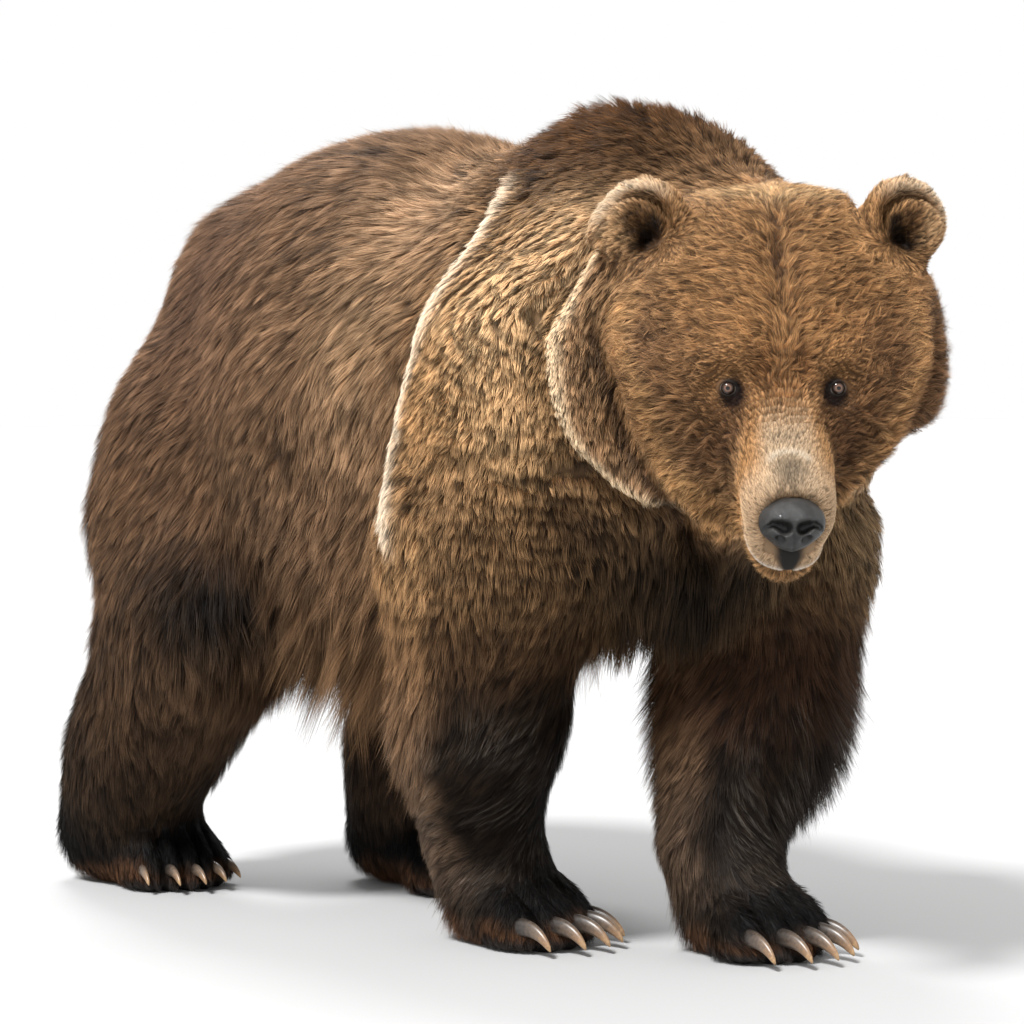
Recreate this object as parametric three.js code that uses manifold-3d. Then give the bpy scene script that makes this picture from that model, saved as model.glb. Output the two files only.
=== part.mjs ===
// Brown bear at life size, standing with its head lowered and turned to its right.
// Millimetres, +Z up. The bear faces -Y and its left side is +X. All sizes are out to the tips of the coat.
// The body is one field of soft-edged flesh masses, turned into faceted solids and parted by thin cuts.
import * as THREE from 'three';
import Module from 'manifold-3d';
import { mergeVertices } from 'three/addons/utils/BufferGeometryUtils.js';

const wasm = await Module();
wasm.setup();

// ---- Driving dimensions -------------------------------------------------------------------------

const GAP = 0.4; // between pieces that touch
const HUMP_HEIGHT = 1150;
const BACK_HEIGHT = 1122;
const RUMP_HEIGHT = 1098;
const BELLY_HEIGHT = 335;
const HUMP_FORWARD = 385; // forward of the middle of the stance
const RUMP_FORWARD = -390;
const TRUNK_HALF_WIDTH = 305;
const HEAD_YAW = 38; // degrees to the bear's right
const HEAD_PITCH = 44; // degrees below level
const EYE_RADIUS = 12.5;
const EYE_DEPTH = 5; // of the eye's front behind the coat
const EYE_SPACING = 138;
const EAR_SPACING = 328;
const FORE_CLAW = 58; // length outside the toe
const HIND_CLAW = 40;
const CLAW_ROOT = 16; // length inside the toe
const FORE_RADII = { shoulder: 165, elbow: 152, cuff: 123, wrist: 85, palm: 74 };
const HIND_RADII = { hip: 150, knee: 142, hock: 118, heel: 74, ball: 56 };

// Softness of the fillets between the masses.
const TRUNK_SOFTNESS = 120;
const BODY_SOFTNESS = 60;
const FORELEG_SOFTNESS = 46;
const HEAD_SOFTNESS = 40;
const MUZZLE_SOFTNESS = 24;

// Cell sizes of the faceted solids.
const TRUNK_CELL = 90;
const LIMB_CELL = 73;
const PAW_CELL = 43;
const HEAD_CELL = 39;
const MUZZLE_CELL = 27;
const NOSE_CELL = 18;

const COAT = new THREE.MeshStandardMaterial({ color: 0x6b4a2c, roughness: 0.9, metalness: 0 });
const DARK_COAT = new THREE.MeshStandardMaterial({ color: 0x33241a, roughness: 0.9, metalness: 0 });
const LEATHER = new THREE.MeshStandardMaterial({ color: 0x1b1614, roughness: 0.5, metalness: 0 });
const EYE = new THREE.MeshStandardMaterial({ color: 0x2a1608, roughness: 0.08, metalness: 0 });
const HORN = new THREE.MeshStandardMaterial({ color: 0x8a6f4c, roughness: 0.45, metalness: 0 });

// ---- Places and frames --------------------------------------------------------------------------

// A place on the bear: to its left, forward of the middle of its stance, and above the floor.
const place = (left, forward, up) => new THREE.Vector3(left, -forward, up);

// The head's own frame: x to the bear's left, y along the nose, z out of the forehead.
const EYES_MIDDLE = place(-146, 842, 757);
const headFrame = new THREE.Matrix4()
  .makeTranslation(EYES_MIDDLE)
  .multiply(new THREE.Matrix4().makeRotationZ(-THREE.MathUtils.degToRad(HEAD_YAW) + Math.PI))
  .multiply(new THREE.Matrix4().makeRotationX(-THREE.MathUtils.degToRad(HEAD_PITCH)));
const onHead = (side, along, out) => new THREE.Vector3(-side, along, out).applyMatrix4(headFrame);

// ---- Fields: signed distance, negative inside ---------------------------------------------------

// An ellipsoid of three half-axes, level with the floor or turned with a frame.
function ball(centre, halves, frame = null) {
  const turn = new THREE.Matrix4();
  if (frame) turn.extractRotation(frame).transpose();
  const local = new THREE.Vector3();
  const [a, b, c] = halves;
  return (point) => {
    local.subVectors(point, centre);
    if (frame) local.applyMatrix4(turn);
    const reach = Math.hypot(local.x / a, local.y / b, local.z / c);
    const slope = Math.hypot(local.x / (a * a), local.y / (b * b), local.z / (c * c));
    return slope > 0 ? (reach * (reach - 1)) / slope : -Math.min(a, b, c);
  };
}

// A round bar that tapers from one radius to another.
function limb(start, startRadius, end, endRadius) {
  const axis = new THREE.Vector3().subVectors(end, start);
  const square = axis.lengthSq();
  const local = new THREE.Vector3();
  return (point) => {
    local.subVectors(point, start);
    const along = THREE.MathUtils.clamp(local.dot(axis) / square, 0, 1);
    return local.addScaledVector(axis, -along).length() - (startRadius + (endRadius - startRadius) * along);
  };
}

// The masses joined, with a fillet of the given softness between them.
function blend(softness, masses) {
  return (point) => {
    let nearest = masses[0](point);
    for (let i = 1; i < masses.length; i += 1) {
      const other = masses[i](point);
      const overlap = Math.max(softness - Math.abs(nearest - other), 0) / softness;
      nearest = Math.min(nearest, other) - (overlap * overlap * overlap * softness) / 6;
    }
    return nearest;
  };
}

// ---- Fields to faceted solids -------------------------------------------------------------------

const STEPS = [[1, 0, 0], [0, 1, 0], [0, 0, 1]];
const MARGIN = 0.05; // of a cell, kept clear of vertices so that no two meet

function slopeOf(field, point, step) {
  const probe = new THREE.Vector3();
  const slope = STEPS.map(([x, y, z]) => {
    probe.set(point.x + x * step, point.y + y * step, point.z + z * step);
    const ahead = field(probe);
    probe.set(point.x - x * step, point.y - y * step, point.z - z * step);
    return (ahead - field(probe)) / (2 * step);
  });
  return new THREE.Vector3(...slope);
}

// Slides a point down the field's slope on to its surface.
function settle(field, point, cell) {
  for (let pass = 0; pass < 3; pass += 1) {
    const slope = slopeOf(field, point, 0.5);
    const square = Math.max(slope.lengthSq(), 0.25);
    const travel = THREE.MathUtils.clamp(field(point) / square, -cell / 2, cell / 2);
    point.addScaledVector(slope, -travel);
  }
  return point;
}

// A closed faceted solid of a field inside a box: a vertex in each cell that the surface crosses, and
// four of them round each edge that it crosses.
function solidOf(wholeField, boxLow, boxHigh, cell) {
  const middle = boxLow.clone().lerp(boxHigh, 0.5);
  const room = boxHigh.clone().sub(middle);
  const low = boxLow.clone().subScalar(1.5 * cell);
  const high = boxHigh.clone().addScalar(1.5 * cell);
  const field = (point) => Math.max(wholeField(point), Math.abs(point.x - middle.x) - room.x,
    Math.abs(point.y - middle.y) - room.y, Math.abs(point.z - middle.z) - room.z);
  const size = new THREE.Vector3().subVectors(high, low).divideScalar(cell).ceil().addScalar(1);
  const [nx, ny, nz] = size.toArray();
  const index = (i, j, k) => i + nx * (j + ny * k);
  const values = new Float64Array(nx * ny * nz);
  const corner = new THREE.Vector3();
  for (let k = 0; k < nz; k += 1) {
    for (let j = 0; j < ny; j += 1) {
      for (let i = 0; i < nx; i += 1) {
        values[index(i, j, k)] = field(corner.set(i, j, k).multiplyScalar(cell).add(low));
      }
    }
  }
  const vertices = [];
  const vertexOf = new Map();
  for (let k = 0; k < nz - 1; k += 1) {
    for (let j = 0; j < ny - 1; j += 1) {
      for (let i = 0; i < nx - 1; i += 1) {
        const vertex = new THREE.Vector3();
        let crossings = 0;
        for (let axis = 0; axis < 3; axis += 1) {
          for (let side = 0; side < 4; side += 1) {
            const start = [i, j, k];
            start[(axis + 1) % 3] += side & 1;
            start[(axis + 2) % 3] += side >> 1;
            const end = start.slice();
            end[axis] += 1;
            const a = values[index(...start)];
            const b = values[index(...end)];
            if (a < 0 === b < 0) continue;
            start[axis] += a / (a - b);
            vertex.add(corner.set(...start));
            crossings += 1;
          }
        }
        if (crossings === 0) continue;
        vertex.divideScalar(crossings).multiplyScalar(cell).add(low);
        settle(field, vertex, cell);
        corner.set(i, j, k).addScalar(MARGIN).multiplyScalar(cell).add(low);
        vertexOf.set(index(i, j, k), vertices.length);
        vertices.push(vertex.clamp(corner, corner.clone().addScalar(cell * (1 - 2 * MARGIN))));
      }
    }
  }
  const triangles = [];
  for (let axis = 0; axis < 3; axis += 1) {
    const right = (axis + 1) % 3;
    const up = (axis + 2) % 3;
    for (let k = 1; k < nz - 1; k += 1) {
      for (let j = 1; j < ny - 1; j += 1) {
        for (let i = 1; i < nx - 1; i += 1) {
          const start = [i, j, k];
          const end = start.slice();
          end[axis] += 1;
          const inside = values[index(...start)] < 0;
          if (inside === values[index(...end)] < 0) continue;
          const ring = [[0, 0], [1, 0], [1, 1], [0, 1]].map(([r, u]) => {
            const at = start.slice();
            at[right] -= r;
            at[up] -= u;
            return vertexOf.get(index(...at));
          });
          if (!inside) ring.reverse();
          const [a, b, c, d] = ring;
          const flat = vertices[a].distanceTo(vertices[c]) < vertices[b].distanceTo(vertices[d]);
          triangles.push(...(flat ? [a, b, c, a, c, d] : [a, b, d, b, c, d]));
        }
      }
    }
  }
  return manifoldOf(vertices.flatMap((vertex) => vertex.toArray()), triangles);
}

function manifoldOf(positions, triangles) {
  return new wasm.Manifold(new wasm.Mesh({
    numProp: 3, vertProperties: new Float32Array(positions), triVerts: new Uint32Array(triangles),
  }));
}

function manifoldOfGeometry(geometry) {
  geometry.deleteAttribute('normal');
  geometry.deleteAttribute('uv');
  const welded = mergeVertices(geometry, 1e-3);
  return manifoldOf(welded.attributes.position.array, welded.index.array);
}

// The same facets pushed out along the field's slope, to cut the pocket that a piece sits in.
function swollen(solid, field, grow) {
  const { vertProperties, triVerts } = solid.getMesh();
  const vertex = new THREE.Vector3();
  for (let i = 0; i < vertProperties.length; i += 3) {
    vertex.fromArray(vertProperties, i);
    vertex.addScaledVector(slopeOf(field, vertex, 0.5).normalize(), grow).toArray(vertProperties, i);
  }
  return manifoldOf(vertProperties, triVerts);
}

// The same facets scaled about a point inside them.
function enlarged(solid, centre, scale) {
  const { vertProperties, triVerts } = solid.getMesh();
  const vertex = new THREE.Vector3();
  for (let i = 0; i < vertProperties.length; i += 3) {
    vertex.fromArray(vertProperties, i).sub(centre).multiplyScalar(scale).add(centre);
    vertex.toArray(vertProperties, i);
  }
  return manifoldOf(vertProperties, triVerts);
}

// ---- Cutting tools ------------------------------------------------------------------------------

const REACH = 3000; // longer than the bear

// Everything on one side of a plane, starting half a gap past it or where it is told.
function beyond(point, normal, start = GAP / 2) {
  const box = new THREE.BoxGeometry(REACH, REACH, REACH);
  box.translate(0, 0, REACH / 2 + start);
  box.applyQuaternion(new THREE.Quaternion().setFromUnitVectors(new THREE.Vector3(0, 0, 1),
    normal.clone().normalize()));
  return manifoldOfGeometry(box.translate(...point.toArray()));
}

// A block between two corners, in the floor's frame or in another.
function block(low, high, frame = null) {
  const size = new THREE.Vector3().subVectors(high, low);
  const box = new THREE.BoxGeometry(Math.abs(size.x), Math.abs(size.y), Math.abs(size.z));
  box.translate(...low.clone().lerp(high, 0.5).toArray());
  if (frame) box.applyMatrix4(frame);
  return manifoldOfGeometry(box);
}

// ---- The four legs ------------------------------------------------------------------------------

// A foreleg hangs from its shoulder; its cuff is the middle of the forearm.
const foreleg = (name, side, elbowForward, paw) => ({
  name,
  side,
  fore: true,
  shoulder: place(side * 170, 420, 790),
  elbow: place(side * 185, elbowForward, 540),
  cuff: place((side * 215 + paw.left) / 2, (elbowForward + paw.forward) / 2 - 8, 310),
  wrist: place(paw.left, paw.forward - 44, 160),
  palm: place(paw.left, paw.forward, 52),
  heading: paw.heading,
});

const LEGS = [
  foreleg('left', 1, 462, { left: 84, forward: 518, heading: 4 }),
  foreleg('right', -1, 332, { left: -98, forward: 246, heading: 12 }),
  {
    name: 'left', side: 1, heading: -4,
    hip: place(135, -330, 600), knee: place(185, -140, 440), hock: place(155, -262, 205),
    heel: place(150, -300, 76), ball: place(150, -165, 48),
  },
  {
    name: 'right', side: -1, heading: -8,
    hip: place(-135, -385, 600), knee: place(-198, -305, 430), hock: place(-180, -510, 215),
    heel: place(-176, -602, 76), ball: place(-145, -490, 48),
  },
];

// Forward and left of a paw, turned by its heading in degrees to the bear's left.
function pawAxes(heading) {
  const turn = THREE.MathUtils.degToRad(heading);
  return {
    ahead: place(Math.sin(turn), Math.cos(turn), 0),
    aside: place(Math.cos(turn), -Math.sin(turn), 0),
  };
}

const TOES = [-2, -1, 0, 1, 2];
const FORE_TOE = { start: 46, reach: 62, radius: 31, spread: 35 };
const HIND_TOE = { start: 0, reach: 66, radius: 29, spread: 33 };

// The five toes of a paw, each from its root to its tip; the outer ones are set back.
function toesOf(leg) {
  const { ahead, aside } = pawAxes(leg.heading);
  const toe = leg.fore ? FORE_TOE : HIND_TOE;
  return TOES.map((step) => {
    const root = (leg.palm ?? leg.ball).clone();
    root.addScaledVector(aside, step * toe.spread * 0.8).addScaledVector(ahead, toe.start);
    const tip = root.clone().addScaledVector(aside, step * toe.spread * 0.2);
    tip.addScaledVector(ahead, toe.reach - 9 * step * step);
    tip.z = toe.radius * 0.8;
    return { step, root, tip, radius: toe.radius, field: limb(root, toe.radius * 1.15, tip, toe.radius) };
  });
}

function legField(leg) {
  const toes = toesOf(leg).map((toe) => toe.field);
  if (leg.fore) {
    const { shoulder, elbow, cuff, wrist, palm } = FORE_RADII;
    return blend(FORELEG_SOFTNESS, [
      limb(leg.shoulder, shoulder, leg.elbow, elbow),
      limb(leg.elbow, elbow, leg.cuff, cuff),
      limb(leg.cuff, cuff, leg.wrist, wrist),
      limb(leg.wrist, wrist, leg.palm, palm),
      ...toes,
    ]);
  }
  const { hip, knee, hock, heel, ball: ballOfFoot } = HIND_RADII;
  return blend(BODY_SOFTNESS, [
    ball(leg.hip, [172, 215, 285]),
    limb(leg.hip, hip, leg.knee, knee),
    limb(leg.knee, knee, leg.hock, hock),
    limb(leg.hock, hock, leg.heel, heel),
    limb(leg.heel, heel, leg.ball, ballOfFoot),
    ...toes,
  ]);
}

// ---- Trunk, neck and tail -----------------------------------------------------------------------

const HUMP_HALF_HEIGHT = 170;
const trunkField = blend(TRUNK_SOFTNESS, [
  ball(place(0, HUMP_FORWARD, HUMP_HEIGHT - HUMP_HALF_HEIGHT), [140, 195, HUMP_HALF_HEIGHT]),
  ball(place(0, 400, 755), [275, 285, 300]),
  ball(place(0, -15, (BACK_HEIGHT + BELLY_HEIGHT) / 2),
    [TRUNK_HALF_WIDTH, 405, (BACK_HEIGHT - BELLY_HEIGHT) / 2]),
  ball(place(0, -130, BACK_HEIGHT - 330), [250, 330, 315]),
  ball(place(0, RUMP_FORWARD, RUMP_HEIGHT - 290), [190, 225, 260]),
]);

const neckField = blend(BODY_SOFTNESS, [
  limb(place(0, 490, 850), 240, place(-40, 640, 825), 190),
  limb(place(0, 560, 740), 200, place(-70, 670, 720), 160),
]);

const TAIL_ROOT = place(0, -590, 850);
const tailField = limb(TAIL_ROOT, 62, place(0, -650, 760), 46);

// ---- Head ---------------------------------------------------------------------------------------

const SIDES = [1, -1];

const skullField = blend(HEAD_SOFTNESS, [
  ball(onHead(0, -140, -10), [150, 150, 112], headFrame),
  ball(onHead(0, -218, -5), [162, 105, 116], headFrame),
  ...SIDES.flatMap((side) => [
    ball(onHead(side * 114, -165, -20), [92, 98, 98], headFrame),
    ball(onHead(side * 110, -90, -45), [104, 115, 100], headFrame),
    ball(onHead(side * 76, -25, -105), [80, 90, 78], headFrame),
    limb(onHead(side * 66, -42, 6), 34, onHead(side * 46, 20, -6), 24),
  ]),
]);

const muzzleField = blend(MUZZLE_SOFTNESS, [
  limb(onHead(0, 10, -80), 70, onHead(0, 150, -80), 54),
  ...SIDES.map((side) => limb(onHead(side * 27, 20, -42), 46, onHead(side * 25, 160, -40), 40)),
]);

const jawField = limb(onHead(0, -50, -142), 74, onHead(0, 140, -126), 45);

const noseField = blend(MUZZLE_SOFTNESS, [
  ball(onHead(0, 190, -38), [34, 28, 35], headFrame),
  ...SIDES.map((side) => ball(onHead(side * 15, 188, -30), [25, 26, 23], headFrame)),
]);

// The hollow of a nostril.
function nostril(side) {
  const hollow = new THREE.SphereGeometry(1, 8, 6).scale(8, 14, 10);
  hollow.applyMatrix4(new THREE.Matrix4().extractRotation(headFrame));
  return manifoldOfGeometry(hollow.translate(...onHead(side * 17, 216, -36).toArray()));
}

// A round furry ear: a thick cup that opens forward and a little out.
const EAR_RADIUS = 62;
const EAR_DEPTH = 44;
const EAR_WALL = 22;
const EAR_SIDES = 12;
const earMiddle = (side) => onHead(side * EAR_SPACING / 2, -220, 84);

function earSolid(side) {
  const rim = EAR_WALL / 2;
  const inside = EAR_RADIUS - EAR_WALL;
  const profile = [];
  for (let step = 0; step <= 4; step += 1) {
    const turn = (step / 4) * Math.PI / 2;
    profile.push(new THREE.Vector2(EAR_RADIUS * Math.sin(turn), -EAR_DEPTH * Math.cos(turn)));
  }
  profile.push(new THREE.Vector2(EAR_RADIUS - rim, rim));
  for (let step = 3; step >= 0; step -= 1) {
    const turn = (step / 3) * Math.PI / 2;
    profile.push(new THREE.Vector2(inside * Math.sin(turn), EAR_WALL - EAR_DEPTH * Math.cos(turn)));
  }
  profile[0].x = 0;
  profile[profile.length - 1].x = 0;
  const facing = onHead(side * 0.3, 0.62, 0.7).sub(EYES_MIDDLE).normalize();
  const cup = new THREE.LatheGeometry(profile, EAR_SIDES);
  cup.applyQuaternion(new THREE.Quaternion().setFromUnitVectors(new THREE.Vector3(0, 1, 0), facing));
  return manifoldOfGeometry(cup.translate(...earMiddle(side).toArray()));
}

// ---- The whole bear as one field ----------------------------------------------------------------

const headField = blend(HEAD_SOFTNESS, [skullField, muzzleField, jawField]);
const bodyField = (legs) => blend(BODY_SOFTNESS, [trunkField, ...legs.map(legField), neckField, tailField]);
const bearField = blend(BODY_SOFTNESS, [bodyField(LEGS), headField]);

// ---- Regions of the body ------------------------------------------------------------------------

const BODY_REACH = 560; // to each side of the middle, well clear of the coat
const BODY_FRONT = 1250;
const BODY_BACK = -900;
const BELOW_FLOOR = -60;
const ALL_LOW = place(-BODY_REACH, BODY_FRONT, BELOW_FLOOR);
const ALL_HIGH = place(BODY_REACH, BODY_BACK, HUMP_HEIGHT + 110);
const floorUp = beyond(place(0, 0, -GAP / 2), place(0, 0, 1));

// A field meshed between two corners at a cell size, and stood on flat soles.
function standing(field, low, high, cell) {
  return solidOf(field, low.clone().min(high), low.clone().max(high), cell).intersect(floorUp);
}

// The space of one leg: a block under the belly, and a block of the flank above it. The under block
// reaches past the middle of the body, as a leg's coat does.
const UNDER_INSIDE = -60;
const FLANK_INSIDE = 135; // from the middle of the body to the flank block
const FLANK_TOP = 790;
const FORE_SPACE = { split: 400, ahead: 235, back: 125, flankBack: 156 };
const HIND_SPACE = { split: 325, ahead: 190, back: 120, flankBack: 1200 };

function legSpace(leg, grow) {
  const [low, high] = leg.fore ? [leg.wrist, leg.elbow] : [leg.heel, leg.knee];
  const { split, ahead, back, flankBack } = leg.fore ? FORE_SPACE : HIND_SPACE;
  const outside = leg.side * BODY_REACH;
  const under = block(new THREE.Vector3(leg.side * UNDER_INSIDE, Math.max(low.y, high.y) + back, -REACH),
    new THREE.Vector3(outside, Math.min(low.y, high.y) - ahead, split + 1 + grow));
  const inside = leg.side * (FLANK_INSIDE - grow);
  const flank = block(new THREE.Vector3(inside, high.y + flankBack + grow, split - grow),
    new THREE.Vector3(outside, high.y - ahead - grow, FLANK_TOP + grow));
  return under.add(flank);
}

// Planes that part the body, each by a point and the direction that it faces.
const cuts = {
  loin: [place(0, -190, 700), place(0, 1, 0)],
  withers: [place(0, 165, 700), place(0, 1, 0)],
  shoulders: [place(0, 545, 850), place(-0.2, 0.9, 0.3)],
  nape: [onHead(0, -175, -75), onHead(0, 0.7, 0.72).sub(EYES_MIDDLE)],
};
const ahead = ([point, normal]) => beyond(point, normal);
const behind = ([point, normal]) => beyond(point, normal.clone().negate());

// The head's space: ahead of the nape and no wider than the cheeks.
const CHEEK_HALF_WIDTH = 226;
const HEAD_REACH = 330;
const headSpace = (grow) => block(new THREE.Vector3(-CHEEK_HALF_WIDTH - grow, -REACH, -HEAD_REACH),
  new THREE.Vector3(CHEEK_HALF_WIDTH + grow, HEAD_REACH, HEAD_REACH), headFrame)
  .intersect(beyond(...cuts.nape, -grow));

const wholeTrunk = LEGS.reduce((solid, leg) => solid.subtract(legSpace(leg, GAP)),
  standing(bearField, ALL_LOW, ALL_HIGH, TRUNK_CELL)).subtract(headSpace(GAP));

// ---- Nodes --------------------------------------------------------------------------------------

const bear = new THREE.Group();

function addMesh(name, solid, material) {
  const { vertProperties, triVerts } = solid.getMesh();
  const geometry = new THREE.BufferGeometry();
  geometry.setAttribute('position', new THREE.BufferAttribute(new Float32Array(vertProperties), 3));
  geometry.setIndex(new THREE.BufferAttribute(new Uint32Array(triVerts), 1));
  const mesh = new THREE.Mesh(geometry, material);
  mesh.name = name;
  bear.add(mesh);
}

// Trunk
const TAIL_CELL = 30;
const tailSpace = (grow) => block(place(-78 - grow, -622 + grow, 640 - grow),
  place(78 + grow, BODY_BACK, 925 + grow));
addMesh('rump', wholeTrunk.intersect(behind(cuts.loin)).subtract(tailSpace(GAP)), COAT);
addMesh('barrel', wholeTrunk.intersect(ahead(cuts.loin)).intersect(behind(cuts.withers)), COAT);
addMesh('shoulders', wholeTrunk.intersect(ahead(cuts.withers)).intersect(behind(cuts.shoulders)), COAT);
addMesh('neck', wholeTrunk.intersect(ahead(cuts.shoulders)), COAT);
addMesh('tail', standing(bearField, place(-90, -560, 620), place(90, -760, 940), TAIL_CELL)
  .intersect(tailSpace(0)), COAT);

// Claws: bent cones that curve down from the toe, in a plane through its heading. They lift from the
// toe at one angle and turn down through another along their length, both in degrees.
const FORE_CLAW_SHAPE = { length: FORE_CLAW, radius: 9.5, height: 33, lift: 20, curl: 78 };
const HIND_CLAW_SHAPE = { length: HIND_CLAW, radius: 8, height: 30, lift: 14, curl: 58 };
const CLAW_FAN = 5; // degrees between neighbouring claws

function clawSolid(toe, leg, grow) {
  const shape = leg.fore ? FORE_CLAW_SHAPE : HIND_CLAW_SHAPE;
  const whole = shape.length + CLAW_ROOT + grow;
  const radius = shape.radius + grow;
  const lift = THREE.MathUtils.degToRad(shape.lift);
  const curl = THREE.MathUtils.degToRad(shape.curl);
  const bend = whole / curl;
  const { ahead: forward, aside } = pawAxes(leg.heading + toe.step * CLAW_FAN);
  const start = toe.tip.clone().addScaledVector(forward, toe.radius - CLAW_ROOT - 3 - grow);
  start.z = shape.height;
  const cone = new THREE.ConeGeometry(radius, whole, 5, 3);
  const vertices = cone.attributes.position;
  const point = new THREE.Vector3();
  for (let i = 0; i < vertices.count; i += 1) {
    point.fromBufferAttribute(vertices, i);
    const along = THREE.MathUtils.clamp(point.y / whole + 0.5, 0, 1);
    const taper = (1 - along ** 2.2) / Math.max(1 - along, 0.05);
    const pitch = lift - curl * along;
    const wide = point.x * taper * 0.8;
    const deep = point.z * taper;
    const run = bend * (Math.sin(lift) - Math.sin(pitch)) - deep * Math.sin(pitch);
    const rise = bend * (Math.cos(pitch) - Math.cos(lift)) + deep * Math.cos(pitch);
    point.copy(start).addScaledVector(forward, run).addScaledVector(aside, -wide);
    point.z += rise;
    vertices.setXYZ(i, point.x, point.y, point.z);
  }
  return manifoldOfGeometry(cone);
}

// Legs, each parted at the elbow or knee and above the paw
const FOREPAW_TOP = 140;
const HINDPAW_TOP = 175;
for (const leg of LEGS) {
  const [top, middle, bottom] = leg.fore
    ? ['upper_arm', 'forearm', 'forepaw'] : ['thigh', 'shank', 'hindpaw'];
  const joint = leg.fore ? leg.elbow : leg.knee;
  const upperCut = [joint, place(0, 0, 1)];
  const lowerCut = [place(0, 0, leg.fore ? FOREPAW_TOP : HINDPAW_TOP), place(0, 0, 1)];
  const low = leg.fore ? leg.palm : leg.ball;
  const field = bodyField([leg]);
  const front = -low.y + BODY_REACH;
  const limbSolid = standing(field, place(-BODY_REACH, front, BELOW_FLOOR),
    place(BODY_REACH, BODY_BACK, FLANK_TOP + 70), LIMB_CELL)
    .intersect(legSpace(leg, 0)).subtract(headSpace(GAP));
  addMesh(`${top}_${leg.name}`, limbSolid.intersect(ahead(upperCut)), COAT);
  const lower = limbSolid.intersect(behind(upperCut));
  addMesh(`${middle}_${leg.name}`, lower.intersect(ahead(lowerCut)), DARK_COAT);
  const around = new THREE.Vector3(320, 330, 0);
  const pawLow = low.clone().sub(around).setZ(-PAW_CELL);
  const pawHigh = low.clone().add(around).setZ(240);
  let paw = standing(field, pawLow, pawHigh, PAW_CELL)
    .intersect(legSpace(leg, 0)).intersect(behind(lowerCut));
  for (const toe of toesOf(leg)) {
    paw = paw.subtract(clawSolid(toe, leg, GAP));
    const kind = leg.fore ? 'fore_claw' : 'hind_claw';
    addMesh(`${kind}_${leg.name}_${toe.step + 3}`, clawSolid(toe, leg, 0), HORN);
  }
  addMesh(`${bottom}_${leg.name}`, paw, DARK_COAT);
}

// Head
const around = (middle, reach, field, cell) => solidOf(field, middle.clone().subScalar(reach),
  middle.clone().addScalar(reach), cell);
const headMiddle = onHead(0, -60, -30);
const noseMiddle = onHead(0, 188, -34);
const NOSE_REACH = 70;
const noseSolid = around(noseMiddle, NOSE_REACH, noseField, NOSE_CELL);
const MUZZLE_HALF_WIDTH = 86;
const MUZZLE_START = 46; // along the nose from the eyes
const JAW_HALF_WIDTH = 72;
const JAW_START = 16;
const JAW_TOP = -117; // of the mouth line, out from the eyes
const muzzleSpace = (grow) => block(
  new THREE.Vector3(-MUZZLE_HALF_WIDTH - grow, MUZZLE_START - grow, -HEAD_REACH),
  new THREE.Vector3(MUZZLE_HALF_WIDTH + grow, HEAD_REACH, HEAD_REACH), headFrame);
const jawSpace = (grow) => block(
  new THREE.Vector3(-JAW_HALF_WIDTH - grow, JAW_START - grow, -HEAD_REACH),
  new THREE.Vector3(JAW_HALF_WIDTH + grow, HEAD_REACH, JAW_TOP + grow), headFrame);

// Each eye looks forward and a little out, from the bottom of a small round opening.
function addEye(side, skull) {
  const gaze = onHead(side * 0.42, 0.62, 0.66).sub(EYES_MIDDLE).normalize();
  const centre = settle(bearField, onHead(side * EYE_SPACING / 2, 2, 12), HEAD_CELL)
    .addScaledVector(gaze, -EYE_RADIUS - EYE_DEPTH);
  const ballSolid = (radius) => manifoldOfGeometry(new THREE.SphereGeometry(radius, 10, 7)
    .translate(...centre.toArray()));
  const opening = new THREE.CylinderGeometry(EYE_RADIUS + 10, EYE_RADIUS - 1, 40, 10).translate(0, 24, 0)
    .applyQuaternion(new THREE.Quaternion().setFromUnitVectors(new THREE.Vector3(0, 1, 0), gaze))
    .translate(...centre.toArray());
  addMesh(`eye_${side > 0 ? 'left' : 'right'}`, ballSolid(EYE_RADIUS), EYE);
  return skull.subtract(ballSolid(EYE_RADIUS + GAP)).subtract(manifoldOfGeometry(opening));
}

const wholeHead = around(headMiddle, HEAD_REACH, bearField, HEAD_CELL);
let skull = wholeHead.intersect(headSpace(0)).subtract(muzzleSpace(GAP)).subtract(jawSpace(GAP));
const snout = around(headMiddle, HEAD_REACH, bearField, MUZZLE_CELL).intersect(headSpace(0))
  .subtract(enlarged(noseSolid, noseMiddle, 1 + GAP / 20));
for (const side of SIDES) {
  skull = addEye(side, skull);
  const ear = earSolid(side).subtract(swollen(wholeHead, bearField, GAP));
  addMesh(`ear_${side > 0 ? 'left' : 'right'}`, ear, COAT);
}
addMesh('nose', noseSolid.subtract(nostril(1)).subtract(nostril(-1)), LEATHER);
addMesh('lower_jaw', snout.intersect(jawSpace(0)), COAT);
addMesh('head', skull, COAT);
addMesh('muzzle', snout.intersect(muzzleSpace(0)).subtract(jawSpace(GAP)), COAT);

// The origin is on the floor, below the middle of the bear's box.
const box = new THREE.Box3().setFromObject(bear);
bear.position.set(-(box.min.x + box.max.x) / 2, -(box.min.y + box.max.y) / 2, -box.min.z);

export default bear;
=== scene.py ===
# Brown bear, life size: one skin, a coat of tufts, eyes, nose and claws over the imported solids.
# Metres, +Z up. The bear faces -Y and its left side is +X. Places on the bear are given in millimetres.
import math
from typing import NamedTuple

import bmesh
import bpy
import numpy as np
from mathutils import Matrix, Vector
from mathutils.bvhtree import BVHTree
from mathutils.kdtree import KDTree


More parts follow.
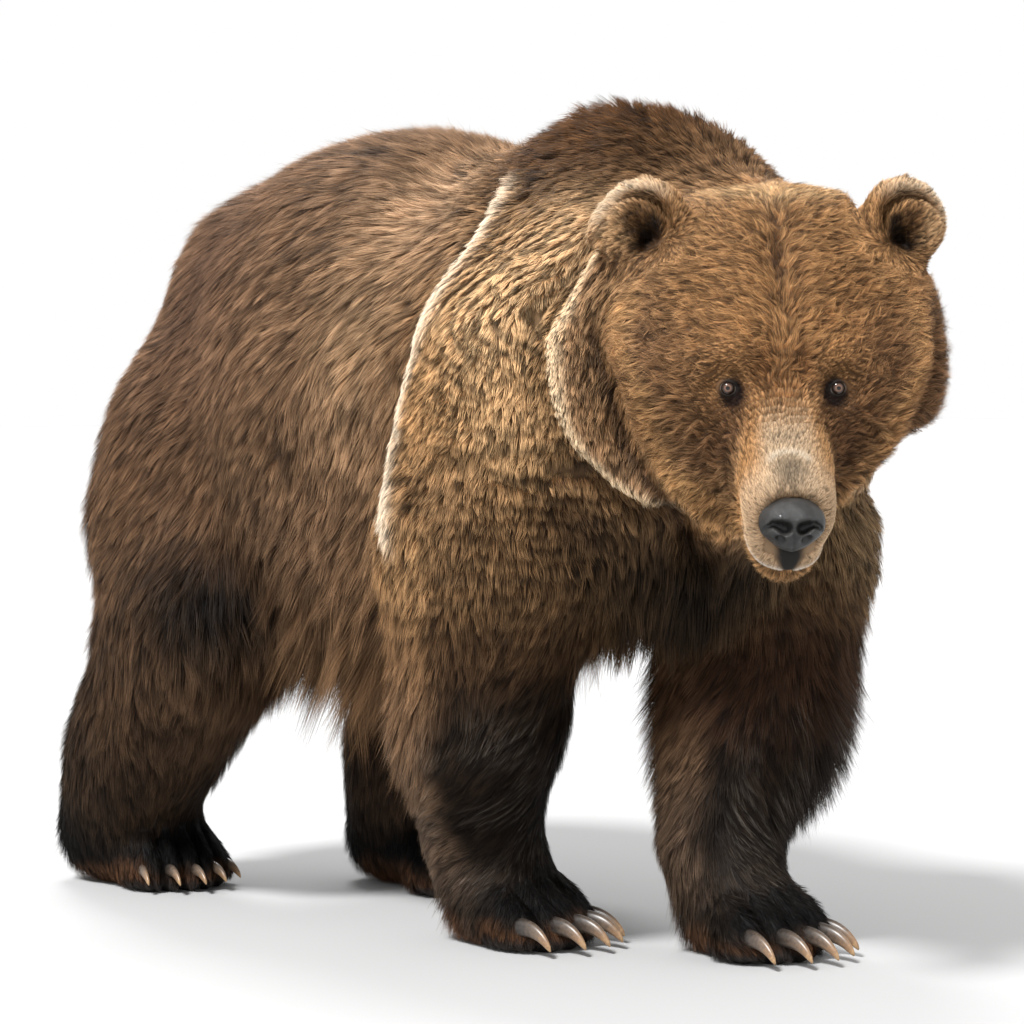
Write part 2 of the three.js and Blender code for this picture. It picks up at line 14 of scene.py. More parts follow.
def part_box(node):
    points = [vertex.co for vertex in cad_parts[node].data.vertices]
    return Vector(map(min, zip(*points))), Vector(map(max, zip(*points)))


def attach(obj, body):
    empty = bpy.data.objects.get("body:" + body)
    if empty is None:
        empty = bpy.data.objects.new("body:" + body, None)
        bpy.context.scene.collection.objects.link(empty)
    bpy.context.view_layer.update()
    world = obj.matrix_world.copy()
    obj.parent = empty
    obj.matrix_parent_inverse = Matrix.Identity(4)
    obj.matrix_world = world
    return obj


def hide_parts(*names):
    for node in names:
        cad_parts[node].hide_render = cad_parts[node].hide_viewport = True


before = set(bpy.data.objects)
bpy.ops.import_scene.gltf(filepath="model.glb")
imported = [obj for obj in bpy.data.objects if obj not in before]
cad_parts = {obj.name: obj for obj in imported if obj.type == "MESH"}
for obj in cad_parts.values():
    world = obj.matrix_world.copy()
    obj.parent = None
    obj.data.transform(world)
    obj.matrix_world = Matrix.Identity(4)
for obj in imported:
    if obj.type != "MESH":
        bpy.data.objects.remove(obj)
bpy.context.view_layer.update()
MM = 0.001
SIDES = {"left": 1, "right": -1}
rng = np.random.default_rng(7)

# ---- Frames ---------------------------------------------------------------------------------------

HEAD_PITCH = math.radians(44)  # below level
EYE_RADIUS = 12.5
EYES_ALONG, EYES_OUT = -1.6, 7.4  # of the eyeballs' middles on the head
EYES_MIDDLE = (-146, 842, 757)  # left, forward, up


def unit(v):
    v = np.asarray(v, float)
    return v / np.maximum(np.linalg.norm(v, axis=-1, keepdims=True), 1e-9)


def middle_of(node):
    low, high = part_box(node)
    return (np.array(low) + np.array(high)) / 2


left_eye, right_eye = middle_of("eye_left"), middle_of("eye_right")
UP = np.array((0.0, 0.0, 1.0))
HEAD_LEFT = unit(left_eye - right_eye)
HEAD_LEVEL = unit(np.cross(HEAD_LEFT, UP))
HEAD_ALONG = HEAD_LEVEL * math.cos(HEAD_PITCH) - UP * math.sin(HEAD_PITCH)
HEAD_OUT = np.cross(HEAD_ALONG, HEAD_LEFT)
HEAD = (left_eye + right_eye) / 2 - MM * (EYES_ALONG * HEAD_ALONG + EYES_OUT * HEAD_OUT)
STANCE = HEAD - MM * np.array((EYES_MIDDLE[0], -EYES_MIDDLE[1], EYES_MIDDLE[2]))


def place(left, forward, up):
    """A place on the bear from the middle of its stance on the floor."""
    return STANCE + MM * np.array((left, -forward, up))


def on_head(side, along, out):
    """A place on the head: to its left, along its nose and out of its forehead from between the eyes."""
    return HEAD + MM * (side * HEAD_LEFT + along * HEAD_ALONG + out * HEAD_OUT)


def head_view(points):
    """The head's own three measures of points, in millimetres."""
    away = (points - HEAD) / MM
    return away @ HEAD_LEFT, away @ HEAD_ALONG, away @ HEAD_OUT


def body_view(points):
    """How far left of, forward of and up from the middle of the stance points lie, in millimetres."""
    away = (points - STANCE) / MM
    return away[:, 0], -away[:, 1], away[:, 2]


def rise(low, high, x):
    """0 up to low, 1 from high on, smooth between. It falls where low is above high."""
    t = np.clip((x - low) / (high - low), 0, 1)
    return t * t * (3 - 2 * t)


def fall(low, high, x):
    """1 up to low, 0 from high on, smooth between."""
    return 1 - rise(low, high, x)


def hill(x, middle, width):
    """1 at the middle, less and less over the width to either side."""
    return np.exp(-(((x - middle) / width) ** 2))


def mound(*spans):
    """A hill over several measures at once, each with its own middle and width."""
    return np.exp(sum(-(((x - middle) / width) ** 2) for x, middle, width in spans))


def ripple(points, size, seed):
    """A soft, wandering noise of about -1 to 1, with features of the given size in millimetres."""
    chance = np.random.default_rng(seed)
    total = np.zeros(len(points))
    for _ in range(9):
        wave = unit(chance.normal(size=3)) * chance.uniform(0.6, 1.7) * math.tau / (size * MM * 2)
        total += np.sin(points @ wave + chance.uniform(0, math.tau))
    return total / 3.0


# ---- Build of the bear: lines that its masses follow ----------------------------------------------

class Bone(NamedTuple):
    """A line that part of the bear follows, and what its coat is like."""
    start: np.ndarray
    end: np.ndarray
    radii: tuple  # of the flesh round its two ends, in millimetres
    comb: np.ndarray  # the way its hair lies, or None on the head, where it lies away from the nose
    kind: str  # of coat


BONES = {}


def bone(name, start, end, radii, comb, kind):
    """A bone by its ends' places left, forward and up on the bear."""
    BONES[name] = Bone(place(*start), place(*end), radii, unit((comb[0], -comb[1], comb[2])), kind)


def head_bone(name, start, end, radii, kind):
    """A bone by its ends' places to the side, along and out on the head."""
    BONES[name] = Bone(on_head(*start), on_head(*end), radii, None, kind)


bone("rump", (0, -390, 808), (0, -230, 790), (240, 270), (0, -0.75, -0.5), "back")
bone("loin", (0, -230, 760), (0, 60, 745), (290, 300), (0, -1, -0.45), "back")
bone("rib", (0, 60, 745), (0, 260, 755), (300, 285), (0, -1, -0.45), "flank")
bone("belly", (0, -230, 560), (0, 200, 560), (215, 215), (0, -0.9, -0.75), "belly")
bone("shoulder_mass", (0, 300, 770), (0, 470, 770), (280, 270), (0, -0.75, -0.75), "shoulder")
bone("hump", (0, 300, 985), (0, 440, 985), (150, 165), (0, -0.85, 0.25), "hump")
bone("chest", (0, 560, 640), (0, 500, 560), (150, 140), (0, 0.1, -1), "chest")
bone("neck", (0, 520, 850), (-40, 650, 825), (240, 200), (0.1, -0.8, -0.55), "ruff")
bone("throat", (0, 560, 740), (-70, 670, 720), (200, 165), (0.05, -0.35, -0.9), "ruff")
bone("tail", (0, -590, 850), (0, -650, 760), (62, 46), (0, -0.45, -0.9), "back")

# Joints of the legs from the top down, and how far each paw points to the left, in degrees
FORELEGS = {
    "left": ((170, 420, 790), (185, 462, 540), (149, 482, 310), (84, 474, 160), (84, 518, 52), 4),
    "right": ((-170, 420, 790), (-185, 332, 540), (-156, 281, 310), (-98, 202, 160), (-98, 246, 52), 12),
}
HINDLEGS = {
    "left": ((135, -330, 600), (185, -140, 440), (155, -262, 205), (150, -300, 76), (150, -165, 48), -4),
    "right": ((-135, -385, 600), (-198, -305, 430), (-180, -510, 215), (-176, -602, 76), (-145, -490, 48),
              -8),
}
for side, (shoulder, elbow, cuff, wrist, palm, _) in FORELEGS.items():
    bone(f"shoulder_{side}", shoulder, elbow, (165, 152), (0, -0.35, -0.9), "upper_arm")
    bone(f"elbow_{side}", elbow, cuff, (152, 123), (0, -0.5, -1), "forearm")
    bone(f"cuff_{side}", cuff, wrist, (123, 85), (0, -0.75, -1), "forearm_low")
    bone(f"wrist_{side}", wrist, palm, (85, 74), (0, -0.45, -1), "wrist")
    bone(f"palm_{side}", palm, (palm[0], palm[1] + 60, palm[2] - 12), (72, 62), (0, 1, -0.35), "paw")
for side, (hip, knee, hock, heel, ball, _) in HINDLEGS.items():
    bone(f"hip_{side}", hip, knee, (200, 145), (0, -0.55, -0.85), "haunch")
    bone(f"knee_{side}", knee, hock, (142, 118), (0, -0.35, -1), "shank")
    bone(f"hock_{side}", hock, heel, (112, 74), (0, 0.05, -1), "shank_low")
    bone(f"heel_{side}", heel, ball, (74, 56), (0, 0.75, -0.65), "paw")
    bone(f"ball_{side}", ball, (ball[0], ball[1] + 50, ball[2] - 8), (58, 50), (0, 1, -0.35), "paw")

head_bone("skull", (0, -200, -5), (0, -90, -20), (165, 165), "forehead")
for side, turn in SIDES.items():
    head_bone("cheek_" + side, (turn * 110, -90, -50), (turn * 70, -25, -100), (100, 78), "cheek")
head_bone("muzzle", (0, 30, -70), (0, 170, -70), (72, 62), "muzzle")
head_bone("jaw", (0, -30, -140), (0, 130, -128), (72, 44), "jaw")


def linear(colour):
    """A screen colour 0xRRGGBB as linear light."""
    parts = np.array([colour >> 16 & 255, colour >> 8 & 255, colour & 255]) / 255
    return np.where(parts <= 0.04045, parts / 12.92, ((parts + 0.055) / 1.055) ** 2.4)


class Kind(NamedTuple):
    """A kind of coat."""
    length: float  # of its hairs, in millimetres
    lift: float  # of the hairs off the skin, in degrees
    depth: float  # from its outline to the skin, in millimetres
    width: float  # of a hair, in millimetres
    shag: float  # how far it hangs in locks
    colour: int  # as the studio's light shows it


KINDS = {
    "back": Kind(32, 14, 8, 0.9, 0.35, 0x775C45),
    "flank": Kind(34, 12, 9, 0.9, 0.4, 0x725A43),
    # belly: darker fur, darkened further as painted shade of the underside
    "belly": Kind(78, 18, 21, 1.2, 0.9, 0x654C34),
    "shoulder": Kind(18, 17, 9, 0.8, 0.6, 0x8A6A48),
    "hump": Kind(29, 32, 15, 0.85, 0.5, 0x42280F),
    # chest: dark fur, darkened further as painted shade of the underside
    "chest": Kind(50, 17, 17, 1.1, 0.6, 0x20160D),
    "ruff": Kind(20, 17, 10, 0.8, 0.45, 0x8A6C4E),
    "upper_arm": Kind(18, 15, 9, 0.85, 0.6, 0x92704A),
    "forearm": Kind(34, 13, 11, 0.95, 0.4, 0x7E6044),
    "forearm_low": Kind(30, 12, 9, 0.9, 0.3, 0x5C4A3A),
    "wrist": Kind(22, 11, 6, 0.85, 0.3, 0x44382E),
    "paw": Kind(15, 12, 4, 0.85, 0.3, 0x0C0B09),
    "haunch": Kind(36, 12, 10, 0.95, 0.45, 0x5E4733),
    "shank": Kind(38, 13, 11, 1.0, 0.45, 0x443324),
    "shank_low": Kind(28, 12, 8, 0.95, 0.4, 0x120F0C),
    "forehead": Kind(17, 11, 4.5, 0.45, 0.7, 0x98734C),
    "cheek": Kind(21, 12, 7, 0.5, 0.7, 0x6C513A),
    "muzzle": Kind(5.2, 11, 2.2, 0.4, 0.2, 0xBA9870),
    "jaw": Kind(21, 24, 9, 0.7, 0.9, 0xA07E56),
}
ROOT_SHADE = np.array((0.34, 0.27, 0.22))  # of the coat's colour
TIP_SHADE = np.array((1.36, 1.38, 1.42))
SEEN = 0.98  # share of its light that a thick coat gives back
BRIGHTEST = 0.86  # no hair gives back more of any colour

# Broad patches of another colour on both sides, the dark ones under the ruff and on the breast partly
# painted shade: aside, forward and up, their reaches, how strong, and the colour
PATCHES = (
    ((0, 160, 1000), (900, 70, 90), 0.8, 0xBE9C7A),  # pale fore end of the back
    ((300, 125, 810), (300, 70, 150), 0.75, 0xA08262),  # pale fore end of the flank
    ((200, -330, 900), (900, 180, 190), 0.85, 0x584233),  # grey-brown rump
    ((300, -90, 640), (300, 170, 100), 0.8, 0x5A4531),  # low flank
    ((300, 460, 870), (300, 85, 110), 0.85, 0xC6A67C),  # golden field of the shoulder
    ((300, 495, 700), (300, 60, 70), 0.6, 0xB4946C),
    ((300, 400, 620), (300, 90, 70), 0.6, 0x66503A),
    ((320, 400, 520), (300, 170, 80), 0.8, 0x8E6F4C),  # upper arm
    ((190, 525, 580), (110, 52, 55), 0.85, 0x2C2016),  # its dark front under the ruff: dark fur, darkened further as painted shade
    ((200, 505, 945), (120, 60, 60), 0.8, 0xC8A67C),  # neck behind the ear
    ((260, -190, 425), (220, 120, 100), 0.95, 0x0E0B09),  # dark front of the thigh
    ((0, 540, 530), (160, 135, 140), 0.95, 0x0E0A06),  # breast: dark fur, darkened further as painted shade of the underside
    # below the shoulders: dark fur, darkened further as painted shade of the underside
    ((90, 510, 560), (78, 85, 110), 0.8, 0x140E09),
    ((90, 480, 1045), (130, 140, 60), 0.75, 0x3A2616),  # fore side of the hump
)
BLEND = 22  # millimetres over which one bone's coat turns into the next one's


def bone_weights(points):
    """How much of each bone's coat there is at each point."""
    depths = []
    for start, end, radii, _, _ in BONES.values():
        axis = end - start
        along = np.clip((points - start) @ axis / max(axis @ axis, 1e-9), 0, 1)
        reach = np.linalg.norm(points - start - along[:, None] * axis, axis=1) / MM
        depths.append(reach - (radii[0] + (radii[1] - radii[0]) * along))
    depths = np.array(depths).T
    nearest = depths.min(axis=1, keepdims=True)
    weights = np.exp(-(depths - nearest) / BLEND)
    return weights / weights.sum(axis=1, keepdims=True)


KIND_OF_BONE = [bone.kind for bone in BONES.values()]
BONE_COMBS = np.array([np.zeros(3) if bone.comb is None else bone.comb for bone in BONES.values()])
HEAD_BONES = np.array([bone.comb is None for bone in BONES.values()])
FOREARMS = ("forearm", "forearm_low")
LOWER_FORELEGS = (*FOREARMS, "wrist")


def kind_values(weights, measure):
    """A measure of the coat's kinds, blended over the body."""
    return weights @ np.array([getattr(KINDS[kind], measure) for kind in KIND_OF_BONE], float)


def kind_share(weights, *kinds):
    """How much of some kinds of coat there is."""
    return weights[:, [i for i, kind in enumerate(KIND_OF_BONE) if kind in kinds]].sum(axis=1)


def head_share(weights):
    """How much of the head's coat there is."""
    return weights[:, HEAD_BONES].sum(axis=1)


# ---- Skin -----------------------------------------------------------------------------------------

CLAWS = [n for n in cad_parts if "claw" in n]
EYES = ["eye_left", "eye_right"]
FLESH = sorted(set(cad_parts) - set(CLAWS) - set(EYES) - {"nose"})
MERGED = 0.01 * MM  # corners of a solid that are closer than this are one
SEAM = 1.6 * MM  # each solid is swollen by this, so that neighbours run together
VOXEL = 10.2 * MM


def new_piece(name, data):
    """An object in the scene: a mesh, a lamp or a camera."""
    piece = bpy.data.objects.new(name, data)
    bpy.context.scene.collection.objects.link(piece)
    return piece


def merged(node):
    """A solid with its doubles merged."""
    work = bmesh.new()
    work.from_mesh(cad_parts[node].data)
    bmesh.ops.remove_doubles(work, verts=work.verts, dist=MERGED)
    return work


def mesh_from(work, name):
    """The finished mesh of a bmesh."""
    mesh = bpy.data.meshes.new(name)
    work.to_mesh(mesh)
    work.free()
    return mesh


def joined_flesh():
    """The solids of flesh in one mesh, each a little swollen."""
    joined = bmesh.new()
    for name in FLESH:
        solid = merged(name)
        solid.normal_update()
        for vertex in solid.verts:
            vertex.co += vertex.normal * SEAM
        mesh = mesh_from(solid, "swollen")
        joined.from_mesh(mesh)
        bpy.data.meshes.remove(mesh)
    return mesh_from(joined, "flesh")


def with_modifier(mesh, kind, **settings):
    """The mesh with one modifier applied."""
    piece = new_piece("shaping", mesh)
    modifier = piece.modifiers.new("shape", kind)
    for key, value in settings.items():
        setattr(modifier, key, value)
    graph = bpy.context.evaluated_depsgraph_get()
    shaped = bpy.data.meshes.new_from_object(piece.evaluated_get(graph))
    bpy.data.objects.remove(piece)
    return shaped


def vertices_of(mesh):
    places = np.empty(len(mesh.vertices) * 3)
    mesh.vertices.foreach_get("co", places)
    return places.reshape(-1, 3)


def normals_of(mesh):
    normals = np.empty(len(mesh.vertices) * 3)
    mesh.vertex_normals.foreach_get("vector", normals)
    return normals.reshape(-1, 3)


def edges_of(mesh):
    edges = np.empty(len(mesh.edges) * 2, int)
    mesh.edges.foreach_get("vertices", edges)
    return edges.reshape(-1, 2)


def put_vertices(mesh, places):
    mesh.vertices.foreach_set("co", places.ravel())
    mesh.update()


def relaxed(values, edges, passes, strength=0.5):
    """Values of vertices drawn towards the mean of their neighbours, pass by pass."""
    values = values.copy()
    flat = values.reshape(len(values), -1)
    strength = np.broadcast_to(strength, (len(values),))
    a, b = edges.T
    count = np.bincount(a, minlength=len(values)) + np.bincount(b, minlength=len(values))
    count = np.maximum(count, 1)
    for _ in range(passes):
        for k in range(flat.shape[1]):
            column = flat[:, k]
            total = np.bincount(a, column[b], len(values)) + np.bincount(b, column[a], len(values))
            flat[:, k] = column + strength * (total / count - column)
    return values


def finer(mesh, choose):
    """Cuts the edges of the chosen vertices' faces in half."""
    chosen = choose(vertices_of(mesh))
    work = bmesh.new()
    work.from_mesh(mesh)
    work.verts.ensure_lookup_table()
    edges = {e for f in work.faces if any(chosen[v.index] for v in f.verts) for e in f.edges}
    bmesh.ops.subdivide_edges(work, edges=list(edges), cuts=1, use_grid_fill=True)
    wide = [f for f in work.faces if len(f.verts) > 4]
    bmesh.ops.triangulate(work, faces=wide)
    work.to_mesh(mesh)
    work.free()


# Two folds of the coat, the ruff's edge and the shoulder's rear edge: heights, how far forward the
# fold runs at them, and the heights between which it is seen
FOLDS = (
    (((585, 601, 620, 645, 673, 709, 766, 823, 880, 938, 1000),
      (720, 655, 612, 581, 563, 554, 549, 545, 556, 574, 600)), 575, 990),
    (((500, 600, 664, 744, 800, 850, 916, 998, 1068),
      (282, 270, 258, 270, 300, 322, 334, 313, 286)), 520, 1040),
)


def fold_lines(points):
    """For each fold: how many millimetres ahead of it points lie, its slope, and where it is seen."""
    _, forward, up = body_view(points)
    found = []
    for line, low, high in FOLDS:
        slope = (np.interp(up - 6, *line) - np.interp(up + 6, *line)) / 12
        ahead = (forward - np.interp(up, *line)) / np.sqrt(1 + slope ** 2)
        found.append((ahead, slope, rise(low, low + 60, up) * fall(high - 40, high + 20, up)))
    return found


def leg_view(points, legs):
    """How far ahead of and outwards from the middle of its leg each point lies, in millimetres."""
    left, forward, up = body_view(points)
    ahead, outward = np.zeros((2, len(points)))
    for side, (*joints, _) in legs.items():
        joints = np.array(joints)[::-1]
        leg_aside, leg_forward = (np.interp(up, joints[:, 2], joints[:, k]) for k in (0, 1))
        ours = (left > 0) == (side == "left")
        ahead = np.where(ours, forward - leg_forward, ahead)
        outward = np.where(ours, np.abs(left) - np.abs(leg_aside), outward)
    return ahead, outward


WINDING, UNWINDING = 1.7, 0.0025  # of the forelegs' hair at the floor, and how much less each millimetre up
LEG_RADIUS = 80


def leg_sweep(points):
    """How the forelegs' hair winds outwards and back: which way, how much, where, and a measure across it."""
    _, _, up = body_view(points)
    ahead, outward = leg_view(points, FORELEGS)
    around = unit(np.stack((np.sign(points[:, 0]) * ahead, outward, 0 * up), axis=1))
    turn = np.arctan2(outward, ahead)
    share = rise(-0.5, 0.4, np.cos(turn - 0.9))
    across = LEG_RADIUS * turn + WINDING * up - UNWINDING / 2 * up ** 2
    return around, np.clip(WINDING - UNWINDING * up, 0.4, 1.6), share, across


EAR_AT = (164, -222, 92)  # to the side, along and out of an ear's middle on the head


def ear_share(points):
    """1 on the ears, 0 away from them."""
    side, along, out = EAR_AT
    share = np.zeros(len(points))
    for turn in SIDES.values():
        middle = on_head(turn * side, along, out)
        share = np.maximum(share, fall(66, 84, np.linalg.norm(points - middle, axis=1) / MM))
    return share


# Where the right side is drawn in: how deep, then the middle and the reach, forward and up
RIGHT_HOLLOWS = (
    (9, (-430, 110), (800, 200)),  # haunch
    (9, (-600, 200), (820, 230)),  # rump
    (13, (-660, 60), (30, 60)),  # heel
    (9, (-640, 130), (620, 100)),  # back of the thigh
)
SLANT = (0.64, 0.77)  # ahead and outwards: the way that a foreleg's outer front faces
LEAST_DEPTH = 0.5
EAR_DEPTH = 6


def coat_depth(points):
    """Millimetres from the outline of the coat in to the skin."""
    weights = bone_weights(points)
    depth = kind_values(weights, "depth")
    side, along, out = head_view(points)
    face = rise(0.4, 0.9, head_share(weights))
    near_eye = hill(np.hypot(np.abs(side) - 69, along - 4), 0, 42)
    between = hill(side, 0, 60) * hill(along, 20, 70) * (out > -60)
    depth = depth * (1 - face * 0.75 * np.maximum(near_eye, between))
    left, forward, up = body_view(points)
    for deep, (ahead, long), (high, tall) in RIGHT_HOLLOWS:
        depth += deep * mound((forward, ahead, long), (up, high, tall)) * (left < 0)
    left = left > 0
    ahead, outward = leg_view(points, FORELEGS)
    aslant = SLANT[1] * outward + SLANT[0] * ahead
    legs = kind_share(weights, *LOWER_FORELEGS)
    depth += 8 * legs * ~left * rise(20, 80, ahead) * rise(170, 230, up)
    depth += 7 * legs * left * rise(-10, -60, outward) * fall(170, 230, up)
    depth -= 9 * legs * left * rise(35, 90, aslant) * rise(90, 160, up)
    ahead = leg_view(points, HINDLEGS)[0]
    legs = kind_share(weights, "shank", "shank_low", "haunch")
    depth += 8 * legs * left * rise(-10, -60, ahead) * fall(330, 400, up)
    depth -= 9 * legs * ~left * rise(30, 90, ahead) * rise(140, 200, up) * fall(430, 500, up)
    depth -= 9 * legs * ~left * rise(-30, -110, ahead) * rise(330, 400, up) * fall(560, 640, up)
    depth -= 9 * kind_share(weights, *FOREARMS) * left * rise(-30, -85, aslant) * rise(200, 280, up)
    depth -= 10 * mound((forward, 510, 75), (up, 1110, 60))  # fore side of the hump
    depth = np.maximum(depth, LEAST_DEPTH)
    ears = ear_share(points)
    return depth * (1 - ears) + EAR_DEPTH * ears


# Swellings and hollows of the face: to either side, along and out, their reaches, and how tall
FACE_RELIEF = (
    ((62, -26, 40), (40, 15, 40), 7.0),  # brow over the eye
    ((30, 4, 25), (15, 22, 30), -3.0),  # beside the root of the nose
    ((57, 42, 0), (20, 28, 36), -8.0),  # between muzzle and cheek
    ((112, 8, -30), (34, 44, 40), 7.0),  # cheekbone
    ((0, -130, 90), (11, 70, 40), -4.0),  # furrow of the forehead
    ((38, -120, 90), (24, 62, 40), 3.0),
    ((0, 122, 0), (24, 24, 20), 2.6),  # pad of the bridge
    ((34, 95, -8), (8, 60, 14), 1.8),  # edges of the bridge
    ((0, 100, -6), (18, 60, 16), -1.2),
)
MOUTH_OUT = -113  # height of the mouth's line on the head
# How far out the face's edge lies, by turns (degrees) up round it from its widest side: left, right
FACE_EDGE = {
    1: ((-71, -54, -38, -17, -5, 10, 23, 34, 60), (197, 150, 152, 160, 163, 187, 203, 218, 214)),
    -1: ((-64, -54, -40, -25, -9, 5, 19, 27, 40, 60), (198, 178, 178, 178, 182, 195, 222, 228, 226, 214)),
}
# How far in the cheeks are drawn, by the same turns
TUCK = {
    1: ((-82, -62, -45, -34, -22, -12, 0, 10, 25, 40), (0, 12, 13, 3, -9, -10, -8, -8, -6, -3)),
    -1: ((-82, -54, -40, -25, -9, 5), (0, 4, 7, 7, 4, 0)),
}


def turn_up(aside, up):
    """Degrees up round the face from its widest side."""
    return np.degrees(np.arctan2(up, np.abs(aside)))


def by_turn(table, aside, up):
    """A measure given round the face, for the left and the right."""
    turn = turn_up(aside, up)
    return np.where(aside > 0, np.interp(turn, *table[1]), np.interp(turn, *table[-1]))


def mouth_line(wide):
    """The mouth's height, lower at its corners."""
    return MOUTH_OUT - 9 * rise(12, 52, wide)


def face_view(points):
    """Measures from between the eyes as the face is met head on: aside, up, ahead."""
    away = (points - HEAD) / MM
    return away @ HEAD_LEFT, away[:, 2], away @ HEAD_LEVEL


def beyond_face(points):
    """Millimetres outside the edge where the face meets the neck; negative on the face."""
    aside, up, _ = face_view(points)
    return np.hypot(aside, up) - by_turn(FACE_EDGE, aside, up)


def gaze_of(turn):
    """The way that the lids of the left (1) or right (-1) eye face."""
    return unit(turn * 0.2 * HEAD_LEFT + 0.70 * HEAD_ALONG + 0.69 * HEAD_OUT)


def eye_view(points, turn):
    """Measures from an eyeball's middle: outwards along the lids, up to the brow, and along its gaze."""
    gaze = gaze_of(turn)
    across = unit(turn * HEAD_LEFT - (turn * HEAD_LEFT @ gaze) * gaze)
    over = turn * np.cross(gaze, across)
    over = over * np.sign(over @ UP)
    away = (points - (left_eye if turn > 0 else right_eye)) / MM
    return away @ across, away @ over, away @ gaze


def lid_opening(across, over):
    """1 on the edge of the lids, less between them, more outside."""
    return np.hypot((across + 0.8) / 10.6, (over - 0.10 * across + 0.2) / 8.4)


def from_eyes(points):
    """Millimetres to the middle of the nearer eyeball."""
    left, right = (np.linalg.norm(points - middle, axis=1) for middle in (left_eye, right_eye))
    return np.minimum(left, right) / MM


def cut_finer(mesh):
    """Cuts the face, the ears and the toes finer, and the mouth and the eyes finer still."""
    def front(points):
        side, along, out = head_view(points)
        return (np.abs(side) < 105) & (along > -40) & (out > -150) & (out < 60)

    def mouth(points):
        side, along, out = head_view(points)
        return (np.abs(side) < 70) & (along > 30) & (out > MOUTH_OUT - 22) & (out < MOUTH_OUT + 24)

    finer(mesh, lambda points: front(points) | (ear_share(points) > 0.4) | (toe_share(points) > 0.3))
    finer(mesh, lambda points: mouth(points) | (from_eyes(points) < 38))
    finer(mesh, lambda points: from_eyes(points) < 26)


def shaped_head(places, edges):
    """The face smoothed, the cheeks drawn in, the muzzle slimmed and the crown filled."""
    side, along, out = head_view(places)
    wide = np.abs(side)
    on_face = (wide < 260) & (along > -260) & (out > -190)
    places = relaxed(places, edges, 3, 0.4 * on_face)
    aside, up, ahead = face_view(places)
    reach = np.maximum(np.hypot(aside, up), 1)
    tuck = by_turn(TUCK, aside, up) * rise(90, 165, reach) * fall(290, 380, reach) * rise(-300, -220, ahead)
    tuck *= fall(30, 80, along)
    places -= (aside[:, None] * HEAD_LEFT + up[:, None] * UP) * (tuck / reach * MM)[:, None]
    lobe = 8 * hill(turn_up(aside, up), 22, 13) * (aside > 0) * rise(150, 195, reach)
    lobe *= rise(-20, -60, ahead) * (1 - ear_share(places))
    places += HEAD_LEFT * (lobe * MM)[:, None]
    slim = 0.13 * side * rise(8, 70, along) * fall(66, 110, wide) * (out > -190)
    places -= HEAD_LEFT * (slim * MM)[:, None]
    crown = (5 * hill(aside, 62, 40) + 9 * hill(aside, 90, 20)) * rise(150, 235, up)
    crown = crown * rise(-320, -240, ahead) * (1 - ear_share(places))
    return places + UP * (crown * MM)[:, None]


def face_relief(places):
    """How far brows, cheekbones, the step to the neck and the lips stand out, in millimetres."""
    side, along, out = head_view(places)
    wide = np.abs(side)
    height = np.zeros(len(places))
    for middles, reaches, tall in FACE_RELIEF:
        height += tall * mound(*zip((wide, along, out), middles, reaches))
    beyond = beyond_face(places)
    lower = fall(60, 130, face_view(places)[1])
    height += (7 * hill(beyond, -16, 15) - 24 * hill(beyond, 19, 14)) * lower * (along > -190) * (wide > 60)
    front_only = rise(75, 120, along) * fall(60, 78, wide)
    height += 2.6 * hill(out, mouth_line(wide) + 12, 9) * front_only
    height -= 8.0 * hill(out, mouth_line(wide) - 2, 6) * front_only
    return height


LID_RADIUS, LID_REACH, LID_EDGE = 14.0, 11.5, 8.0  # the lids' dome, how wide it is and where its edge lies


def with_lids(places, turn):
    """Lids laid over an eyeball, and the skin between them sunk behind it."""
    across, over, ahead = eye_view(places, turn)
    reach = np.hypot(across, over)
    near = (reach < 36) & (ahead > -24) & (ahead < 44)
    dome = np.sqrt(np.maximum(LID_RADIUS ** 2 - reach ** 2, 0))
    lid = np.where(reach < LID_REACH, dome, LID_EDGE - 0.22 * (reach - LID_REACH))
    under = np.sqrt(np.maximum(EYE_RADIUS ** 2 - reach ** 2, 0)) - 5
    wanted = lid + rise(1.0, 0.78, lid_opening(across, over)) * (under - lid)
    pull = near * fall(13, 34, reach)
    return places + gaze_of(turn) * (pull * (wanted - ahead) * MM)[:, None]


EAR_CUP = (172, 206)  # aside and up of the cup's middle, met head on


def filled_ear(places, normals, turn):
    """Fills the ear's cup but for a deep slit on its inner, lower side."""
    aside, up, ahead = face_view(places)
    away, above = aside * turn - EAR_CUP[0], up - EAR_CUP[1]
    reach = np.hypot(away, above)
    ear = (ear_share(places) > 0.3) & (normals @ HEAD_LEVEL > -0.15)
    brim = np.percentile(ahead[ear & (reach > 28) & (reach < 42)], 85)
    slit = mound((away, -15, 10), (above + 12 - 0.5 * away, 0, 17))
    wanted = brim - 4 - 24 * slit
    lift = np.maximum(wanted - ahead, 0) * ear * fall(30, 40, reach)
    return places + HEAD_LEVEL * (lift * MM)[:, None]


def paw_views(points):
    """For each paw: measures of points ahead along it, aside and up, and how far its toes are apart."""
    views = []
    for legs, apart in ((FORELEGS, 35), (HINDLEGS, 28)):
        for *_, ball, heading in legs.values():
            away = (points - place(ball[0], ball[1], 0)) / MM
            turn = math.radians(heading)
            ahead = away @ np.array((math.sin(turn), -math.cos(turn), 0))
            aside = away @ np.array((math.cos(turn), math.sin(turn), 0))
            views.append((ahead, aside, away[:, 2], apart))
    return views


def toe_share(points):
    """1 on the toes, 0 away from them."""
    share = np.zeros(len(points))
    for ahead, aside, up, _ in paw_views(points):
        share = np.maximum(share, rise(0, 30, ahead) * (np.abs(aside) < 110) * (ahead < 140) * (up < 95))
    return share


